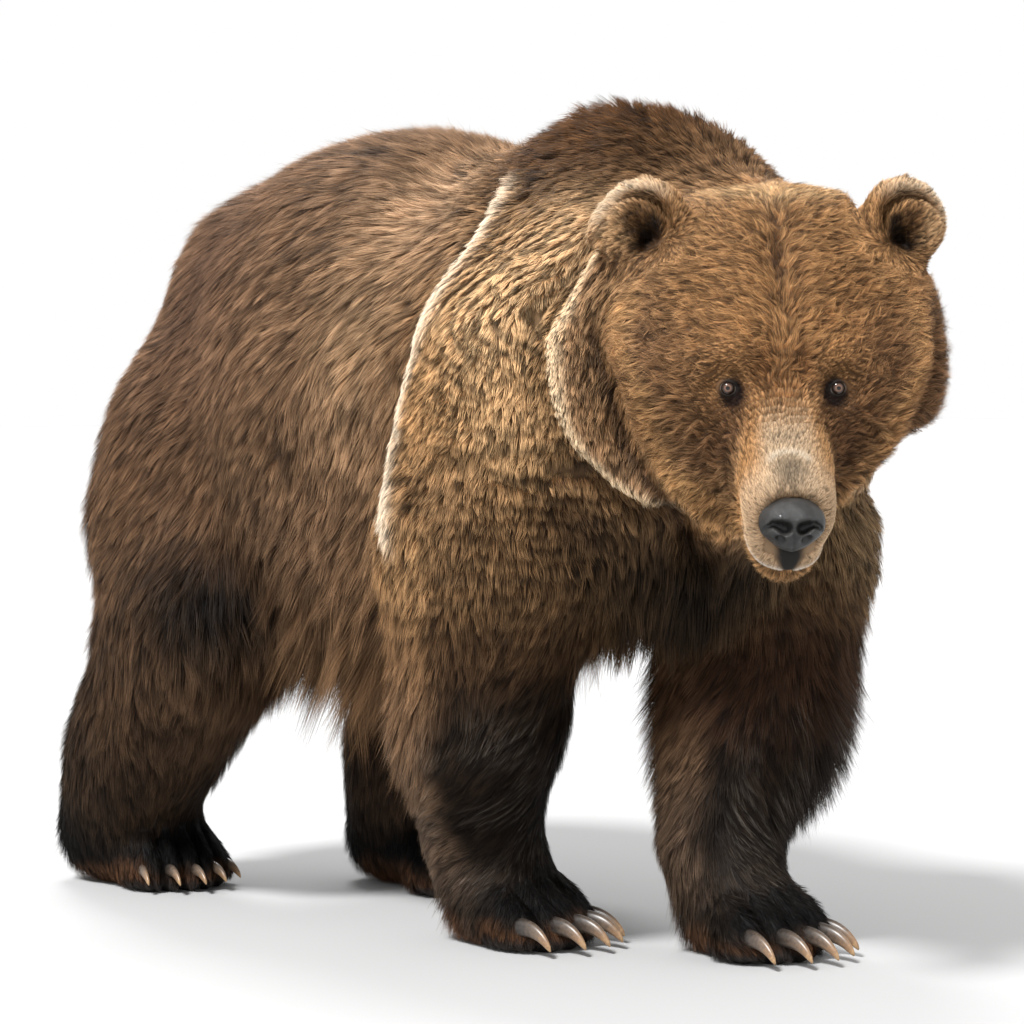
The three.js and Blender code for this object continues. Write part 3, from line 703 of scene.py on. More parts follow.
def toe_grooves(points):
    """Depth of the grooves between the five toes of each paw."""
    depth = np.zeros(len(points))
    for ahead, aside, up, apart in paw_views(points):
        near = rise(8, 45, ahead) * (ahead < 140) * (np.abs(aside) < 100) * (up < 95)
        between = sum(hill(aside, k * apart, 6.5) for k in (-1.5, -0.5, 0.5, 1.5))
        over = sum(hill(aside, k * apart, 11) for k in (-2, -1, 0, 1, 2))
        depth += near * (9 * between - 3 * over)
    return depth


def make_face(mesh):
    """Gives the face its relief, lids and lips, fills the ears and parts the toes."""
    cut_finer(mesh)
    edges = edges_of(mesh)
    places = shaped_head(vertices_of(mesh), edges)
    put_vertices(mesh, places)
    normals = unit(relaxed(normals_of(mesh), edges, 3))
    places = places + normals * (face_relief(places) * MM)[:, None]
    for turn in SIDES.values():
        places = with_lids(places, turn)
        places = filled_ear(places, normals, turn)
    places -= normals * (toe_grooves(places) * MM)[:, None]
    places[:, 2] = np.maximum(places[:, 2], 0)  # flat on the floor
    put_vertices(mesh, places)


def make_skin():
    """The flesh smoothed and drawn in by the coat's depth, with its two folds and its face."""
    coarse = joined_flesh()
    coat_surface = BVHTree.FromPolygons(
        [v.co for v in coarse.vertices], [p.vertices for p in coarse.polygons])
    mesh = with_modifier(coarse, "REMESH", mode="VOXEL", voxel_size=VOXEL, adaptivity=0.0)
    places = vertices_of(mesh)
    edges = edges_of(mesh)
    side, along, out = head_view(places)
    muzzle = rise(-40, 60, along) * (np.abs(side) < 260)
    head = fall(300, 380, np.hypot(np.hypot(side, along + 60), out + 30))
    low = fall(0.12, 0.26, places[:, 2])
    freedom = 0.6 * (1 - 0.55 * head) * (1 - 0.6 * head * muzzle) * (1 - 0.6 * low)
    freedom *= 1 - 0.85 * ear_share(places)
    smooth = relaxed(places, edges, 46, freedom)
    put_vertices(mesh, smooth)
    normals = unit(relaxed(normals_of(mesh), edges, 6))
    lost = np.empty(len(smooth))  # what the smoothing took off is part of the coat's depth
    for i, point in enumerate(smooth):
        nearest, normal, _, distance = coat_surface.find_nearest(Vector(point))
        lost[i] = distance if (nearest - Vector(point)).dot(normal) > 0 else -distance
    wanted = relaxed(coat_depth(smooth) * MM - lost - SEAM, edges, 24, 0.5)
    fold = np.zeros(len(smooth))
    for (ahead, _, seen), tall in zip(fold_lines(smooth), (18, 12)):
        fold += tall * seen * (rise(-8, 8, ahead) * fall(24, 80, ahead) - 0.8 * hill(ahead, -24, 16))
    wanted -= fall(0.3, 0.7, head_share(bone_weights(smooth))) * fold * MM
    put_vertices(mesh, smooth - normals * wanted[:, None])
    make_face(mesh)
    return mesh


# ---- Markings, with painted light and shade -------------------------------------------------------

EYE_AT = (67, 4)  # side and along of an eye on the face
NOSE_AT = on_head(0, 205, -40)  # the hair of the head lies away from here


def toward_mix(colours, mask, colour):
    """Colours drawn towards one screen colour by a mask."""
    return colours + mask[:, None] * (linear(colour) - colours)


# Two left-only patches below the chin, painted light where the head shades them: left, forward, up, reach
LEFT_SHOULDER = ((245, 550, 545), (105, 105, 105))
UNDER_CHIN = ((185, 500, 440), (80, 80, 80))


def patch(places, middle, reaches):
    """1 in the middle of a patch, less and less away from it."""
    away = (np.stack(places, axis=1) - middle) / reaches
    return np.exp(-(away ** 2).sum(axis=1))


def bands(points, across, spacing, wander, seed):
    """Broken, wavy bands where the measure across them rises, about -1 to 1."""
    chance = np.random.default_rng(seed)
    total = np.zeros(len(points))
    for _ in range(6):
        wave = unit(chance.normal(size=3)) * math.tau / (wander * MM) * chance.uniform(0.3, 1.0)
        total += np.sin(across * math.tau / spacing * chance.uniform(0.7, 1.4) + points @ wave
                        + chance.uniform(0, math.tau))
    return total / 2.4


def crimp(points, weights):
    """The coat's fine broken waves: how deep in a trough a point is, 0 to 1, and how strong they are."""
    _, forward, up = body_view(points)
    steep = up - forward * rise(640, 880, up)
    strength = kind_share(weights, "shoulder", "upper_arm") + 0.6 * kind_share(weights, "ruff", "hump")
    strength += 0.3 * kind_share(weights, "flank", "back", "haunch", "belly")
    patchy = np.clip(0.8 + 0.5 * ripple(points, 90, 21), 0.2, 1)
    body = rise(-0.05, 0.45, bands(points, steep, 25, 75, 22)) * patchy
    for ahead, _, seen in fold_lines(points):
        body = body * (1 - 0.85 * seen * hill(ahead, 10, 20))
    reach = np.linalg.norm(points - NOSE_AT, axis=1) / MM
    head = kind_share(weights, "forehead", "cheek") * rise(120, 175, reach) * (1 - ear_share(points))
    # bands of the head's hair, counted as troughs: lowered, and darkened as painted shade
    crests = rise(-0.4, 0.8, bands(points, head_flow(points), 13, 26, 23))
    return body * np.clip(strength, 0, 1) + 0.75 * crests * head, np.clip(strength + 0.75 * head, 0, 1)


def face_share(weights):
    """1 on the head, 0 on the body."""
    return rise(0.35, 0.8, head_share(weights))


def face_colour_and_painted_light(mix, points, weights):
    """The face's edge, brows, cheeks, muzzle, lips and the dark round the eyes, with painted light and shade.
    """
    side, along, out = head_view(points)
    wide = np.abs(side)
    aside, above, ahead = face_view(points)
    face = face_share(weights)
    beyond = beyond_face(points)
    edge = rise(-420, -340, ahead)
    lower = fall(60, 130, above) * (wide > 50)
    on_top = face * rise(-20, 30, out)

    # painted shadow on the neck behind the face's edge, weaker on the left
    mix(0.8 * hill(beyond, 15, 12) * lower * edge * np.where(side > 0, 0.3, 1), 0x34251A)
    inside = rise(-150, -60, beyond) * fall(-34, -12, beyond) * face
    mix(0.45 * inside * lower * rise(60, 120, wide), 0x644931)
    # painted shade: the face darker towards its left side
    mix(0.4 * inside * rise(10, 90, side), 0x553C26)
    mix(0.35 * inside * (1 - lower), 0x7E5C38)
    # the face's golden edge: paler hair and painted rim light
    mix(0.85 * hill(beyond, -6, 11) * fall(90, 150, above) * (wide > 50) * edge, 0xB48A5C)
    top = face * (1 - ear_share(points)) * hill(aside, 10, 110)
    # dark hair below the crown, darkened further as painted shade of the crease above the forehead
    mix(0.35 * hill(above, 210, 22) * top, 0x5A4228)
    # the crown's pale top: pale hair and painted rim light
    mix(0.6 * hill(above, 256, 11) * top, 0xDCBC8C)
    mix(0.8 * hill(side + 4, 0, 8) * rise(-235, -205, along) * fall(-130, -60, along) * face, 0x3E2814)
    mix(0.4 * hill(wide, 62, 30) * hill(along, -42, 26) * on_top, 0xA87C4E)  # light on the brows
    # painted shade beside the root of the nose, above the eyes' inner corners
    mix(0.6 * hill(wide, 28, 18) * hill(along, -6, 24) * on_top, 0x5E3C20)
    mix(0.5 * hill(side, 0, 30) * hill(along, 26, 24) * on_top, 0xA47850)
    jaw_line = hill(np.hypot(aside, above), 186, 32) * rise(-90, -120, above)
    mix(0.9 * jaw_line * face, 0xCCA06A)

    fold = np.interp(along, (20, 50, 90, 120), (36, 47, 57, 62))  # where the muzzle's side meets the cheek
    low = rise(14, 50, along) * fall(90, 135, along) * rise(fold - 2, fold + 12, wide)
    # painted shade in the hollow between the muzzle and the cheek
    mix(0.65 * low * fall(fold + 40, fold + 95, wide) * face * rise(-150, -90, out), 0x60452D)
    muzzle = rise(8, 52, along) * face * np.maximum(fall(fold - 2, fold + 9, wide), rise(95, 125, along))
    muzzle *= rise(-124, -112, out)
    mix(0.95 * muzzle, 0xB8946C)
    mix(0.55 * muzzle * hill(wide, fold - 4, 9) * fall(100, 150, along), 0xA87C4C)
    # painted shade on the muzzle's right side
    mix(0.7 * muzzle * rise(-22, -34, side) * fall(110, 160, along), 0xA67C50)
    mix(0.85 * muzzle * rise(100, 160, along), 0xCEB290)
    bridge = fall(14, 40, wide - 0.06 * along) * rise(20, 74, along) * face * rise(-50, -10, out)
    mix(0.9 * bridge, 0xBCA587)
    grey = fall(6, 30, np.hypot(side, (along - 132) * 0.7)) * face * rise(-40, -10, out)
    mix(0.8 * grey, 0x6C6050)
    mix(0.3 * hill(side, 0, 20) * hill(along, 78, 16) * bridge, 0x7C6E5A)
    arc = hill(np.hypot(side, (along - 130) * 0.9), 28, 4.5) * rise(124, 108, along)
    arc = arc * rise(-40, -10, out) * face
    mix(0.75 * arc, 0xE6D8C0)
    line = mouth_line(wide)
    mix(0.95 * hill(out, line + 7, 5.5) * rise(100, 150, along) * face, 0xF6EEE0)
    mix(0.9 * rise(line - 1, line - 8, out) * rise(30, 80, along) * face, 0x94704A)
    from_eye = np.hypot(wide - EYE_AT[0] + 2, along - EYE_AT[1] - 5)
    tear = hill(np.hypot(wide - 53, (along - 18) * 0.8), 0, 9)
    dark = (fall(10, 19, from_eye) + 0.8 * tear) * face * (out > -50)
    mix(0.95 * dark, 0x17110E)
    mix(0.45 * hill(np.hypot(wide - 74, along - 40), 0, 28) * face * (out > -70), 0x4A3020)
    mix(philtrum(side, along, out), 0x2A2927)


def ear_colour_and_painted_light(mix, points):
    """Dark cups (dark fur and painted shade) and pale rims (pale hair and painted rim light) of the ears."""
    side, _, _ = head_view(points)
    aside, above, _ = face_view(points)
    ears = ear_share(points)
    for turn in SIDES.values():
        near = ears * (np.sign(side) == turn)
        middle = on_head(turn * 160, -232, 84)
        rim = near * rise(34, 52, np.linalg.norm(points - middle, axis=1) / MM)
        away, over = aside * turn - EAR_CUP[0], above - EAR_CUP[1]
        reach = np.hypot(away, over)
        # the cup: dark fur and painted shade of the hollow that the skin fills
        mix(0.85 * near * fall(18, 38, reach), 0x4C3620)
        # the slit: painted shade of its depth
        mix(0.95 * near * rise(8, -18, away + 0.7 * over) * fall(22, 40, reach), 0x140D08)
        # the rim: pale hair and painted rim light
        mix(0.8 * rim * rise(-20, 40, away + over), 0xC6A278)
        mix(0.9 * near * hill(reach, 55, 10) * rise(15, 55, 0.5 * away + over), 0xEED8B8)


def fold_edges_light_and_shade(mix, points, body):
    """Pale edges of the ruff and shoulder: pale tips and painted rim light, with painted shade behind them.
    """
    left, _, up = body_view(points)
    (ahead, _, seen), (behind, _, also) = fold_lines(points + 2 * MM * ripple(points, 60, 3)[:, None])
    faint = np.where(left > 0, 0.35, 1.0)  # softer on the left
    seen, also = seen * body * faint, also * body * faint
    mix(0.6 * hill(ahead, 74, 36) * seen, 0x86694A)
    # painted shade in the crease behind the ruff's edge
    mix(0.6 * hill(ahead, -18, 14) * seen, 0x4A3722)
    low_ruff = seen * rise(24, 48, ahead) * fall(120, 160, ahead) * fall(770, 880, up)
    mix(0.5 * low_ruff, 0x5A442E)
    mix(0.7 * seen * rise(-4, 6, ahead) * fall(16, 60, ahead), 0x80644A)
    # the ruff's pale edge: pale tips and painted rim light
    mix(0.95 * seen * rise(-5, 2, ahead) * fall(8, 28, ahead), 0xDCC4A0)
    mix(0.6 * also * rise(-8, 6, behind) * fall(20, 64, behind), 0xBE9C74)
    # the shoulder's pale edge: pale tips and painted rim light
    mix(0.9 * also * rise(-8, 2, behind) * fall(16, 46, behind), 0xF4E4CA)
    # painted shade in the crease behind the shoulder's edge
    mix(0.3 * hill(behind, -22, 14) * also, 0x4E3A28)


def leg_colour_and_painted_light(mix, points, weights, body):
    """Black fronts of the forelegs, black paws, brown hair round the soles, grey pads, and painted light on
    the left.
    """
    left, forward, up = body_view(points)
    forelegs = kind_share(weights, *LOWER_FORELEGS)
    front = forelegs * rise(10, 60, leg_view(points, FORELEGS)[0])
    mix(0.92 * front, 0x100C09)
    # the left foreleg lighter brown above: painted light where the head shades it
    mix(0.85 * forelegs * (left > 0) * rise(230, 330, up), 0x3C281A)
    mix(0.5 * front * (left < 0) * rise(320, 420, up), 0x4E3826)
    # painted light below the chin on the left, where the head shades it
    mix(0.8 * body * patch((left, forward, up), *UNDER_CHIN), 0x62452C)
    mix(0.9 * rise(0.3, 0.7, kind_share(weights, "paw")) * rise(25, 50, up), 0x050404)
    feet = kind_share(weights, "forearm_low", "wrist", "shank_low", "paw")
    sole = feet * fall(12, 44, up + 10 * ripple(points, 40, 32))
    mix(0.6 * sole, 0x5A3C26)
    mix(toe_share(points) * fall(10, 15, up), 0x2A2826)


def coat_colour_with_painted_light(points, weights):
    """The coat's colour, with painted light and shade."""
    colour = weights @ np.array([linear(KINDS[kind].colour) for kind in KIND_OF_BONE])

    def mix(mask, tone):
        nonlocal colour
        colour = toward_mix(colour, np.clip(mask, 0, 1), tone)

    left, forward, up = body_view(points)
    body = fall(0.2, 0.6, head_share(weights))
    for middle, reaches, amount, tone in PATCHES:
        mix(amount * body * patch((np.abs(left), forward, up), middle, reaches), tone)
    # the left shoulder's golden fur, lightened as painted light where the head shades it
    mix(0.95 * body * patch((left, forward, up), *LEFT_SHOULDER), 0xE0BE8E)
    fold_edges_light_and_shade(mix, points, body)
    leg_colour_and_painted_light(mix, points, weights, body)
    face_colour_and_painted_light(mix, points, weights)
    ear_colour_and_painted_light(mix, points)
    return colour / SEEN


# ---- Coat -----------------------------------------------------------------------------------------

LAYERS = 4.6  # hairs over each other
CLUMP, HEAD_CLUMP = 20, 10  # hairs in a tuft
BRIDGE_HAIR, LIP_HAIR, EAR_HAIR = 6, 4.5, 9  # millimetres long
EAR_HAIR_WIDTH = 0.5
GRAVITY = np.array((0.0, 0.0, -1.0))
# The coat's pieces: the bones that each one covers, the bends in its hairs, and a name for its finish, which
# is not used
REGIONS = {
    "rump": (("rump", "tail"), 1, "coat"),
    "flank": (("loin", "rib", "belly"), 1, "coat"),
    "shoulder": (("shoulder_mass", "hump", "chest"), 2, "coat"),
    "neck": (("neck", "throat"), 2, "coat"),
    "crown": (("skull",), 1, "coat"),
    "face": (("cheek_left", "cheek_right", "muzzle", "jaw"), 1, "coat"),
}
for side in SIDES:
    lower_foreleg = tuple(part + side for part in ("elbow_", "cuff_", "wrist_", "palm_"))
    lower_hindleg = tuple(part + side for part in ("knee_", "hock_", "heel_", "ball_"))
    REGIONS["arm_" + side] = (("shoulder_" + side,), 2, "coat")
    REGIONS["foreleg_" + side] = (lower_foreleg, 1, "dark_coat")
    REGIONS["thigh_" + side] = (("hip_" + side,), 1, "coat")
    REGIONS["hindleg_" + side] = (lower_hindleg, 1, "dark_coat")
HALVED = ("rump", "flank", "shoulder", "neck", "crown", "face")  # made as a left and a right piece


def corners_of(mesh):
    mesh.calc_loop_triangles()
    corners = np.empty(len(mesh.loop_triangles) * 3, int)
    mesh.loop_triangles.foreach_get("vertices", corners)
    return corners.reshape(-1, 3)


def hair_length(points, weights):
    """Millimetres from root to tip."""
    length = kind_values(weights, "length")
    side, along, out = head_view(points)
    wide = np.abs(side)
    face = face_share(weights)
    from_eye = np.hypot(wide - EYE_AT[0], along - EYE_AT[1])
    length = length * (1 - face * 0.72 * fall(18, 58, from_eye) * (out > -60))
    bridge = fall(34, 66, wide) * rise(-30, 50, along) * face * (out > -60)
    length = length + bridge * (BRIDGE_HAIR - length)
    lip = hill(out, mouth_line(wide) + 8, 11) * rise(70, 130, along) * face
    length = length + lip * (LIP_HAIR - length)
    body = 1 - face
    for (ahead, _, seen), least in zip(fold_lines(points), (9, 12)):
        length = length + body * seen * hill(ahead, 4, 20) * (least - length)
    ears = ear_share(points)
    return length + ears * (EAR_HAIR - length)


def hair_width(points, weights):
    """Millimetres across, where a hair is widest."""
    width = kind_values(weights, "width")
    return width + ear_share(points) * (EAR_HAIR_WIDTH - width)


def philtrum(side, along, out):
    """1 on the grey patch from the nose down to the lip."""
    half = 2.5 + 15 * np.clip((out - MOUTH_OUT) / 30, 0, 1)
    high = (along > 140) * rise(-50, -60, out) * rise(MOUTH_OUT, MOUTH_OUT + 5, out)
    return high * fall(0.6, 1.25, np.abs(side) / half)


def bare(points, normals):
    """Where no hair grows: the eyes' openings, the nose, the soles."""
    side, along, out = head_view(points)
    wide = np.abs(side)
    eyes = np.zeros(len(points), bool)
    for turn in SIDES.values():
        across, over, ahead = eye_view(points, turn)
        eyes |= (lid_opening(across, over) < 1.36) & (np.abs(ahead) < 25)
    nose = (along > 172) & (wide < 30) & (out > -78) & (out < 0)
    nose |= philtrum(side, along, out) > 0.4
    soles = (points[:, 2] < 0.008) & (normals[:, 2] < -0.5)
    pads = (points[:, 2] < 0.013) & (toe_share(points) > 0.5) & (normals[:, 2] < 0.2)
    return eyes | nose | soles | pads


def scatter(mesh):
    """Roots of the hairs: their places, the skin's normals and the bones' weights there."""
    corners = corners_of(mesh)
    places, normals = vertices_of(mesh), normals_of(mesh)
    weights = bone_weights(places).astype(np.float32)
    density = LAYERS / (hair_length(places, weights) * hair_width(places, weights)) / MM ** 2
    a, b, c = (places[corners[:, k]] for k in range(3))
    area = np.linalg.norm(np.cross(b - a, c - a), axis=1) / 2
    expected = density[corners].mean(axis=1) * area
    count = np.floor(expected + rng.random(len(expected))).astype(int)
    chosen = corners[np.repeat(np.arange(len(corners)), count)]
    u, v = rng.random((2, len(chosen)))
    fold = u + v > 1
    u[fold], v[fold] = 1 - u[fold], 1 - v[fold]
    share = (1 - u - v, u, v)

    def spread(values):
        return sum(share[k][:, None].astype(values.dtype) * values[chosen[:, k]] for k in range(3))

    roots, ups = spread(places), unit(spread(normals))
    keep = ~bare(roots, ups)
    return roots[keep], ups[keep], spread(weights)[keep]


def outward_share(points):
    """How much the forehead's hair turns outwards from its parting."""
    side, along, _ = head_view(points)
    return rise(50, -70, along) * rise(0, 32, np.abs(side))


def head_flow(points):
    """Millimetres run by the hair from the nose, up and then out over the forehead."""
    reach = np.linalg.norm(points - NOSE_AT, axis=1) / MM
    return reach + 1.5 * outward_share(points) * np.abs(head_view(points)[0])


def combed(points, normals, weights):
    """The way the hair lies."""
    comb = (weights @ BONE_COMBS.astype(np.float32)).astype(float)
    head = head_share(weights)
    comb[:, 2] -= 0.55 * np.abs(normals[:, 0]) * (1 - head)
    for (ahead, slope, seen), hold in zip(fold_lines(points), (3.0, 1.6)):
        along_fold = np.stack((0 * slope, -slope, -np.ones(len(slope))), axis=1)
        comb += (hold * seen * hill(ahead, 4, 22) * (1 - head))[:, None] * unit(along_fold)
    around, winding, share, _ = leg_sweep(points)
    legs = share * kind_share(weights, *LOWER_FORELEGS)
    comb += (1.6 * legs)[:, None] * unit(winding[:, None] * around - UP)
    turns = np.sign(head_view(points)[0])
    from_nose = unit(points - NOSE_AT)
    from_nose = unit(from_nose + (2.2 * outward_share(points) * turns)[:, None] * HEAD_LEFT)
    comb += 1.25 * rise(0.25, 0.75, head)[:, None] * from_nose
    ears = ear_share(points)
    for turn in SIDES.values():
        out_of_ear = unit(points - on_head(turn * 140, -195, 62))
        near = ears * (turns == turn)
        comb += 3 * near[:, None] * (out_of_ear - 0.3 * from_nose)
    comb -= (comb * normals).sum(axis=1, keepdims=True) * normals
    return unit(comb)


def turned(comb, normals, angle):
    """The comb turned over the skin, by radians."""
    across = np.cross(normals, comb)
    return comb * np.cos(angle)[:, None] + across * np.sin(angle)[:, None]


LINE_KEYS = ("roots", "normals", "comb", "length", "lift", "droop", "wave", "phase")
LEAVING, BENDING = 1.55, 1.1  # of its lift: how steeply a hair leaves the skin, and how much it bends down
WAVES = 5.5  # radians of a wave down a hair


def spines(roots, normals, comb, length, lift, droop, wave, phase, steps):
    """Points down each hair, from its root to its tip."""
    across = np.cross(normals, comb)
    pull = GRAVITY - np.minimum(normals @ GRAVITY, 0)[:, None] * normals
    lines = [roots]
    step = (length * MM / steps)[:, None]
    for k in range(steps):
        t = (k + 0.5) / steps
        angle = lift * (LEAVING - BENDING * t)
        way = comb * np.cos(angle)[:, None] + normals * np.sin(angle)[:, None]
        way = way + (droop * t)[:, None] * pull
        way = way + across * (wave * np.cos(phase + t * WAVES))[:, None]
        lines.append(lines[-1] + unit(way) * step)
    return np.stack(lines, axis=1)


def fringe(points, normals, weights):
    """Where long loose hair hangs: behind the forelegs, round the thighs, at the heels."""
    left, _, up = body_view(points)
    left = left > 0
    backward = normals[:, 1]
    aslant = SLANT[1] * normals[:, 0] - SLANT[0] * backward
    legs = kind_share(weights, *FOREARMS)
    thighs = kind_share(weights, "haunch", "shank")
    heels = kind_share(weights, "wrist", "forearm_low", "paw")
    hair = legs * rise(-0.1, 0.7, backward) * rise(150, 240, up) * (1 + 0.3 * left)
    hair += 1.1 * legs * left * rise(0.2, 0.8, aslant) * rise(150, 210, up)
    hair += thighs * rise(0.3, 0.9, -backward) * rise(200, 280, up) * (1 - 0.3 * left)
    hair += thighs * rise(0.3, 0.9, backward) * rise(330, 420, up) * (1 + 0.2 * left)
    hair += 1.4 * heels * rise(0.1, 0.7, backward) * fall(70, 120, up)
    hair += 0.2 * kind_share(weights, "back") * rise(0.5, 0.85, normals[:, 2])
    hair += 1.2 * kind_share(weights, "chest", "belly") * rise(0.2, -0.6, normals[:, 2])
    return np.clip(hair, 0, 1.4)


def long_streaks(points, weights):
    """Long soft streaks down the coat, about -1 to 1."""
    _, forward, up = body_view(points)
    lean = 0.45 * kind_share(weights, "back", "haunch")
    body = kind_share(weights, "back", "flank", "belly", "haunch", "shank", "chest", "shank_low")
    return np.clip(bands(points, forward + lean * up, 17, 110, 26), -1.3, 1.3) * body


def hair_colour(points, weights, t):
    """The colour at a share t of the way down each hair, with painted light, shade and sheen."""
    trough, waved = crimp(points, weights)
    lit = ROOT_SHADE + (TIP_SHADE - ROOT_SHADE) * t
    # painted light on the coat's waves and painted shade in their troughs
    lit = lit * (1 + 0.5 * waved - (1.0 + 0.32 * t) * np.minimum(trough, 1))[:, None]
    colour = coat_colour_with_painted_light(points, weights) * lit
    _, _, share, across = leg_sweep(points)
    up = points[:, 2] / MM
    legs = kind_share(weights, *LOWER_FORELEGS) * share * rise(50, 90, up) * fall(260, 380, up)
    # painted sheen: pale grey lines along the forelegs' winding hair
    lines = rise(0.1, 0.95, np.sin((across + 7 * ripple(points, 70, 27)) * math.tau / 11.5))
    patchy = np.clip(0.6 + 0.7 * ripple(points, 60, 28), 0, 1)
    return toward_mix(colour, t * 0.4 * legs * lines * patchy, 0x8E867C)


def leaders_of(roots, head):
    """The hairs that tufts gather to, and which of them is nearest to each hair."""
    clump = CLUMP + (HEAD_CLUMP - CLUMP) * rise(0.3, 0.8, head)
    leaders = np.flatnonzero(rng.random(len(roots)) < 1 / clump)
    tree = KDTree(len(leaders))
    for k, root in enumerate(roots[leaders].tolist()):
        tree.insert(root, k)
    tree.balance()
    return leaders, np.array([tree.find(root)[1] for root in roots.tolist()])


def grown(skin_mesh):
    """Every hair of the coat: its root, the way it lies and bends, the leader of its tuft, and its shade."""
    roots, normals, weights = scatter(skin_mesh)
    head = head_share(weights)
    ears = ear_share(roots)
    length = hair_length(roots, weights)
    lift = np.radians(kind_values(weights, "lift"))
    shag = kind_values(weights, "shag")
    comb = combed(roots, normals, weights)
    swirl = (0.30 * ripple(roots, 130, 5) + 0.30 * ripple(roots, 50, 6) * shag) * (1 - 0.5 * head)
    for ahead, _, seen in fold_lines(roots):
        swirl *= 1 - 0.9 * seen * hill(ahead, 4, 24)
    waves = bands(roots, head_flow(roots), 24, 60, 24)
    swirl += 0.6 * waves * rise(0.3, 0.8, head) * rise(8, 13, length) * (1 - ears)
    comb = turned(comb, normals, swirl)
    below = kind_share(weights, "belly", "chest")
    long = fringe(roots, normals, weights)
    droop = 0.2 + 0.9 * below * rise(0.2, -0.5, normals[:, 2]) + 0.35 * long
    trough, waved = crimp(roots, weights)
    height = (0.5 * waved - trough) * np.where(head > 0.5, 3.5, 7.5)

    leaders, mine = leaders_of(roots, head)
    own = rng.normal(size=(4, len(leaders)))[:, mine]
    phase = (math.tau * rng.random(len(leaders)))[mine]
    strand = rng.normal(size=(4, len(roots)))
    stray = rng.random(len(roots)) < 0.03 + 0.05 * long
    length = length * np.clip(1 + 0.2 * shag * own[0] + 0.13 * strand[0], 0.5, 1.6)
    length = length * (1 + 0.6 * long + 0.5 * long * stray)
    lift = lift * np.clip(1 + 0.4 * shag * own[1] + 0.22 * strand[1] + 1.0 * stray, 0.3, 2.6)
    lift = lift * (1 - 0.5 * waved * (trough - 0.4)) + 0.28 * long
    comb = turned(comb, normals, 0.2 * shag * own[2] + 0.10 * strand[2])
    full = rise(6, 9, length)
    shade = 1 + (0.36 + 0.34 * head) * (0.4 + 0.6 * full) * own[3]
    shade = shade + (0.22 + 0.04 * head) * (0.5 + 0.5 * full) * strand[3]
    shade += 0.26 * (1 - head) * long_streaks(roots, weights)
    group = np.array([weights[:, [list(BONES).index(b) for b in names]].sum(axis=1)
                      for names, _, _ in REGIONS.values()])
    return dict(
        roots=roots + normals * (height * MM)[:, None], normals=normals, weights=weights, ears=ears,
        region=group.argmax(axis=0), comb=comb, length=length, lift=lift, droop=droop, phase=phase,
        wave=0.34 * shag, chief=leaders[mine], gather=0.14 + 0.5 * shag, width=hair_width(roots, weights),
        shade=np.clip(shade, 0.25, 2.2))


def chart_of(name, roots):
    """A flat unwrap of one region of the skin: round it and along it, or out from the nose on the head."""
    kind, _, leg = name.partition("_")
    if kind in ("crown", "face", "ear"):
        side, along, out = head_view(roots)
        if kind == "ear":
            turn = SIDES[leg]
            side, along, out = side - turn * 150, -(out - 60), along + 215
        ahead, height = along + 100, out + 50
        angle = np.arctan2(side, height)
        reach = np.arctan2(np.hypot(side, height), ahead)
        chart = np.stack((reach * np.sin(angle), reach * np.cos(angle)), axis=1)
    elif leg in FORELEGS:
        joints = (FORELEGS if kind in ("arm", "foreleg") else HINDLEGS)[leg][:5]
        joints = np.array([place(*joint) for joint in joints])[::-1]
        middle = np.stack([np.interp(roots[:, 2], joints[:, 2], joints[:, k]) for k in (0, 1)], axis=1)
        away = roots[:, :2] - middle
        chart = np.stack((np.arctan2(away[:, 0], away[:, 1]), roots[:, 2]), axis=1)
    else:
        chart = np.stack((roots[:, 1], np.arctan2(roots[:, 0], roots[:, 2] - 0.72)), axis=1)
    low, high = chart.min(axis=0), chart.max(axis=0)
    return 0.01 + 0.975 * (chart - low) / (high - low)


PATCH = 0.003  # of the unwrap, for each hair
ROLL = 0.45  # radians that ribbons are turned about their own lines


def at_corners(left, right, tip):
    """Values at the corners of ribbons, from those down their two sides and at their tips."""
    count, steps, measures = left.shape
    values = np.empty((count, 2 * steps + 1, measures))
    values[:, 0:-1:2], values[:, 1:-1:2], values[:, -1] = left, right, tip
    return values


def ribbons(lines, normals, width):
    """Tapering ribbons down the lines of hairs: two corners at each step, and one at the tip."""
    steps = lines.shape[1] - 1
    run = unit(lines[:, 1:] - lines[:, :-1])
    roll = (rng.normal(size=len(lines)) * ROLL)[:, None, None]
    across = unit(np.cross(run, normals[:, None, :]))
    across = across * np.cos(roll) + normals[:, None, :] * np.sin(roll)
    taper = np.interp(np.arange(steps) / steps, (0, 0.35, 0.7, 1), (0.85, 1, 0.75, 0))
    half = across * (width * MM / 2)[:, None, None] * taper[:, None]
    points = at_corners(lines[:, :-1] - half, lines[:, :-1] + half, lines[:, -1])
    points[..., 2] = np.maximum(points[..., 2], 0.0)
    return points


def ribbon_colours(lines, weights, shade):
    """The ribbons' colours at their corners."""
    steps = lines.shape[1] - 1
    rings = np.stack([hair_colour(lines[:, k], weights, k / steps) for k in range(steps + 1)], axis=1)
    rings *= shade[:, None, None]
    colours = at_corners(rings[:, :-1], rings[:, :-1], rings[:, -1])
    return colours * np.minimum(1, BRIGHTEST / np.maximum(colours.max(axis=2, keepdims=True), 1e-6))


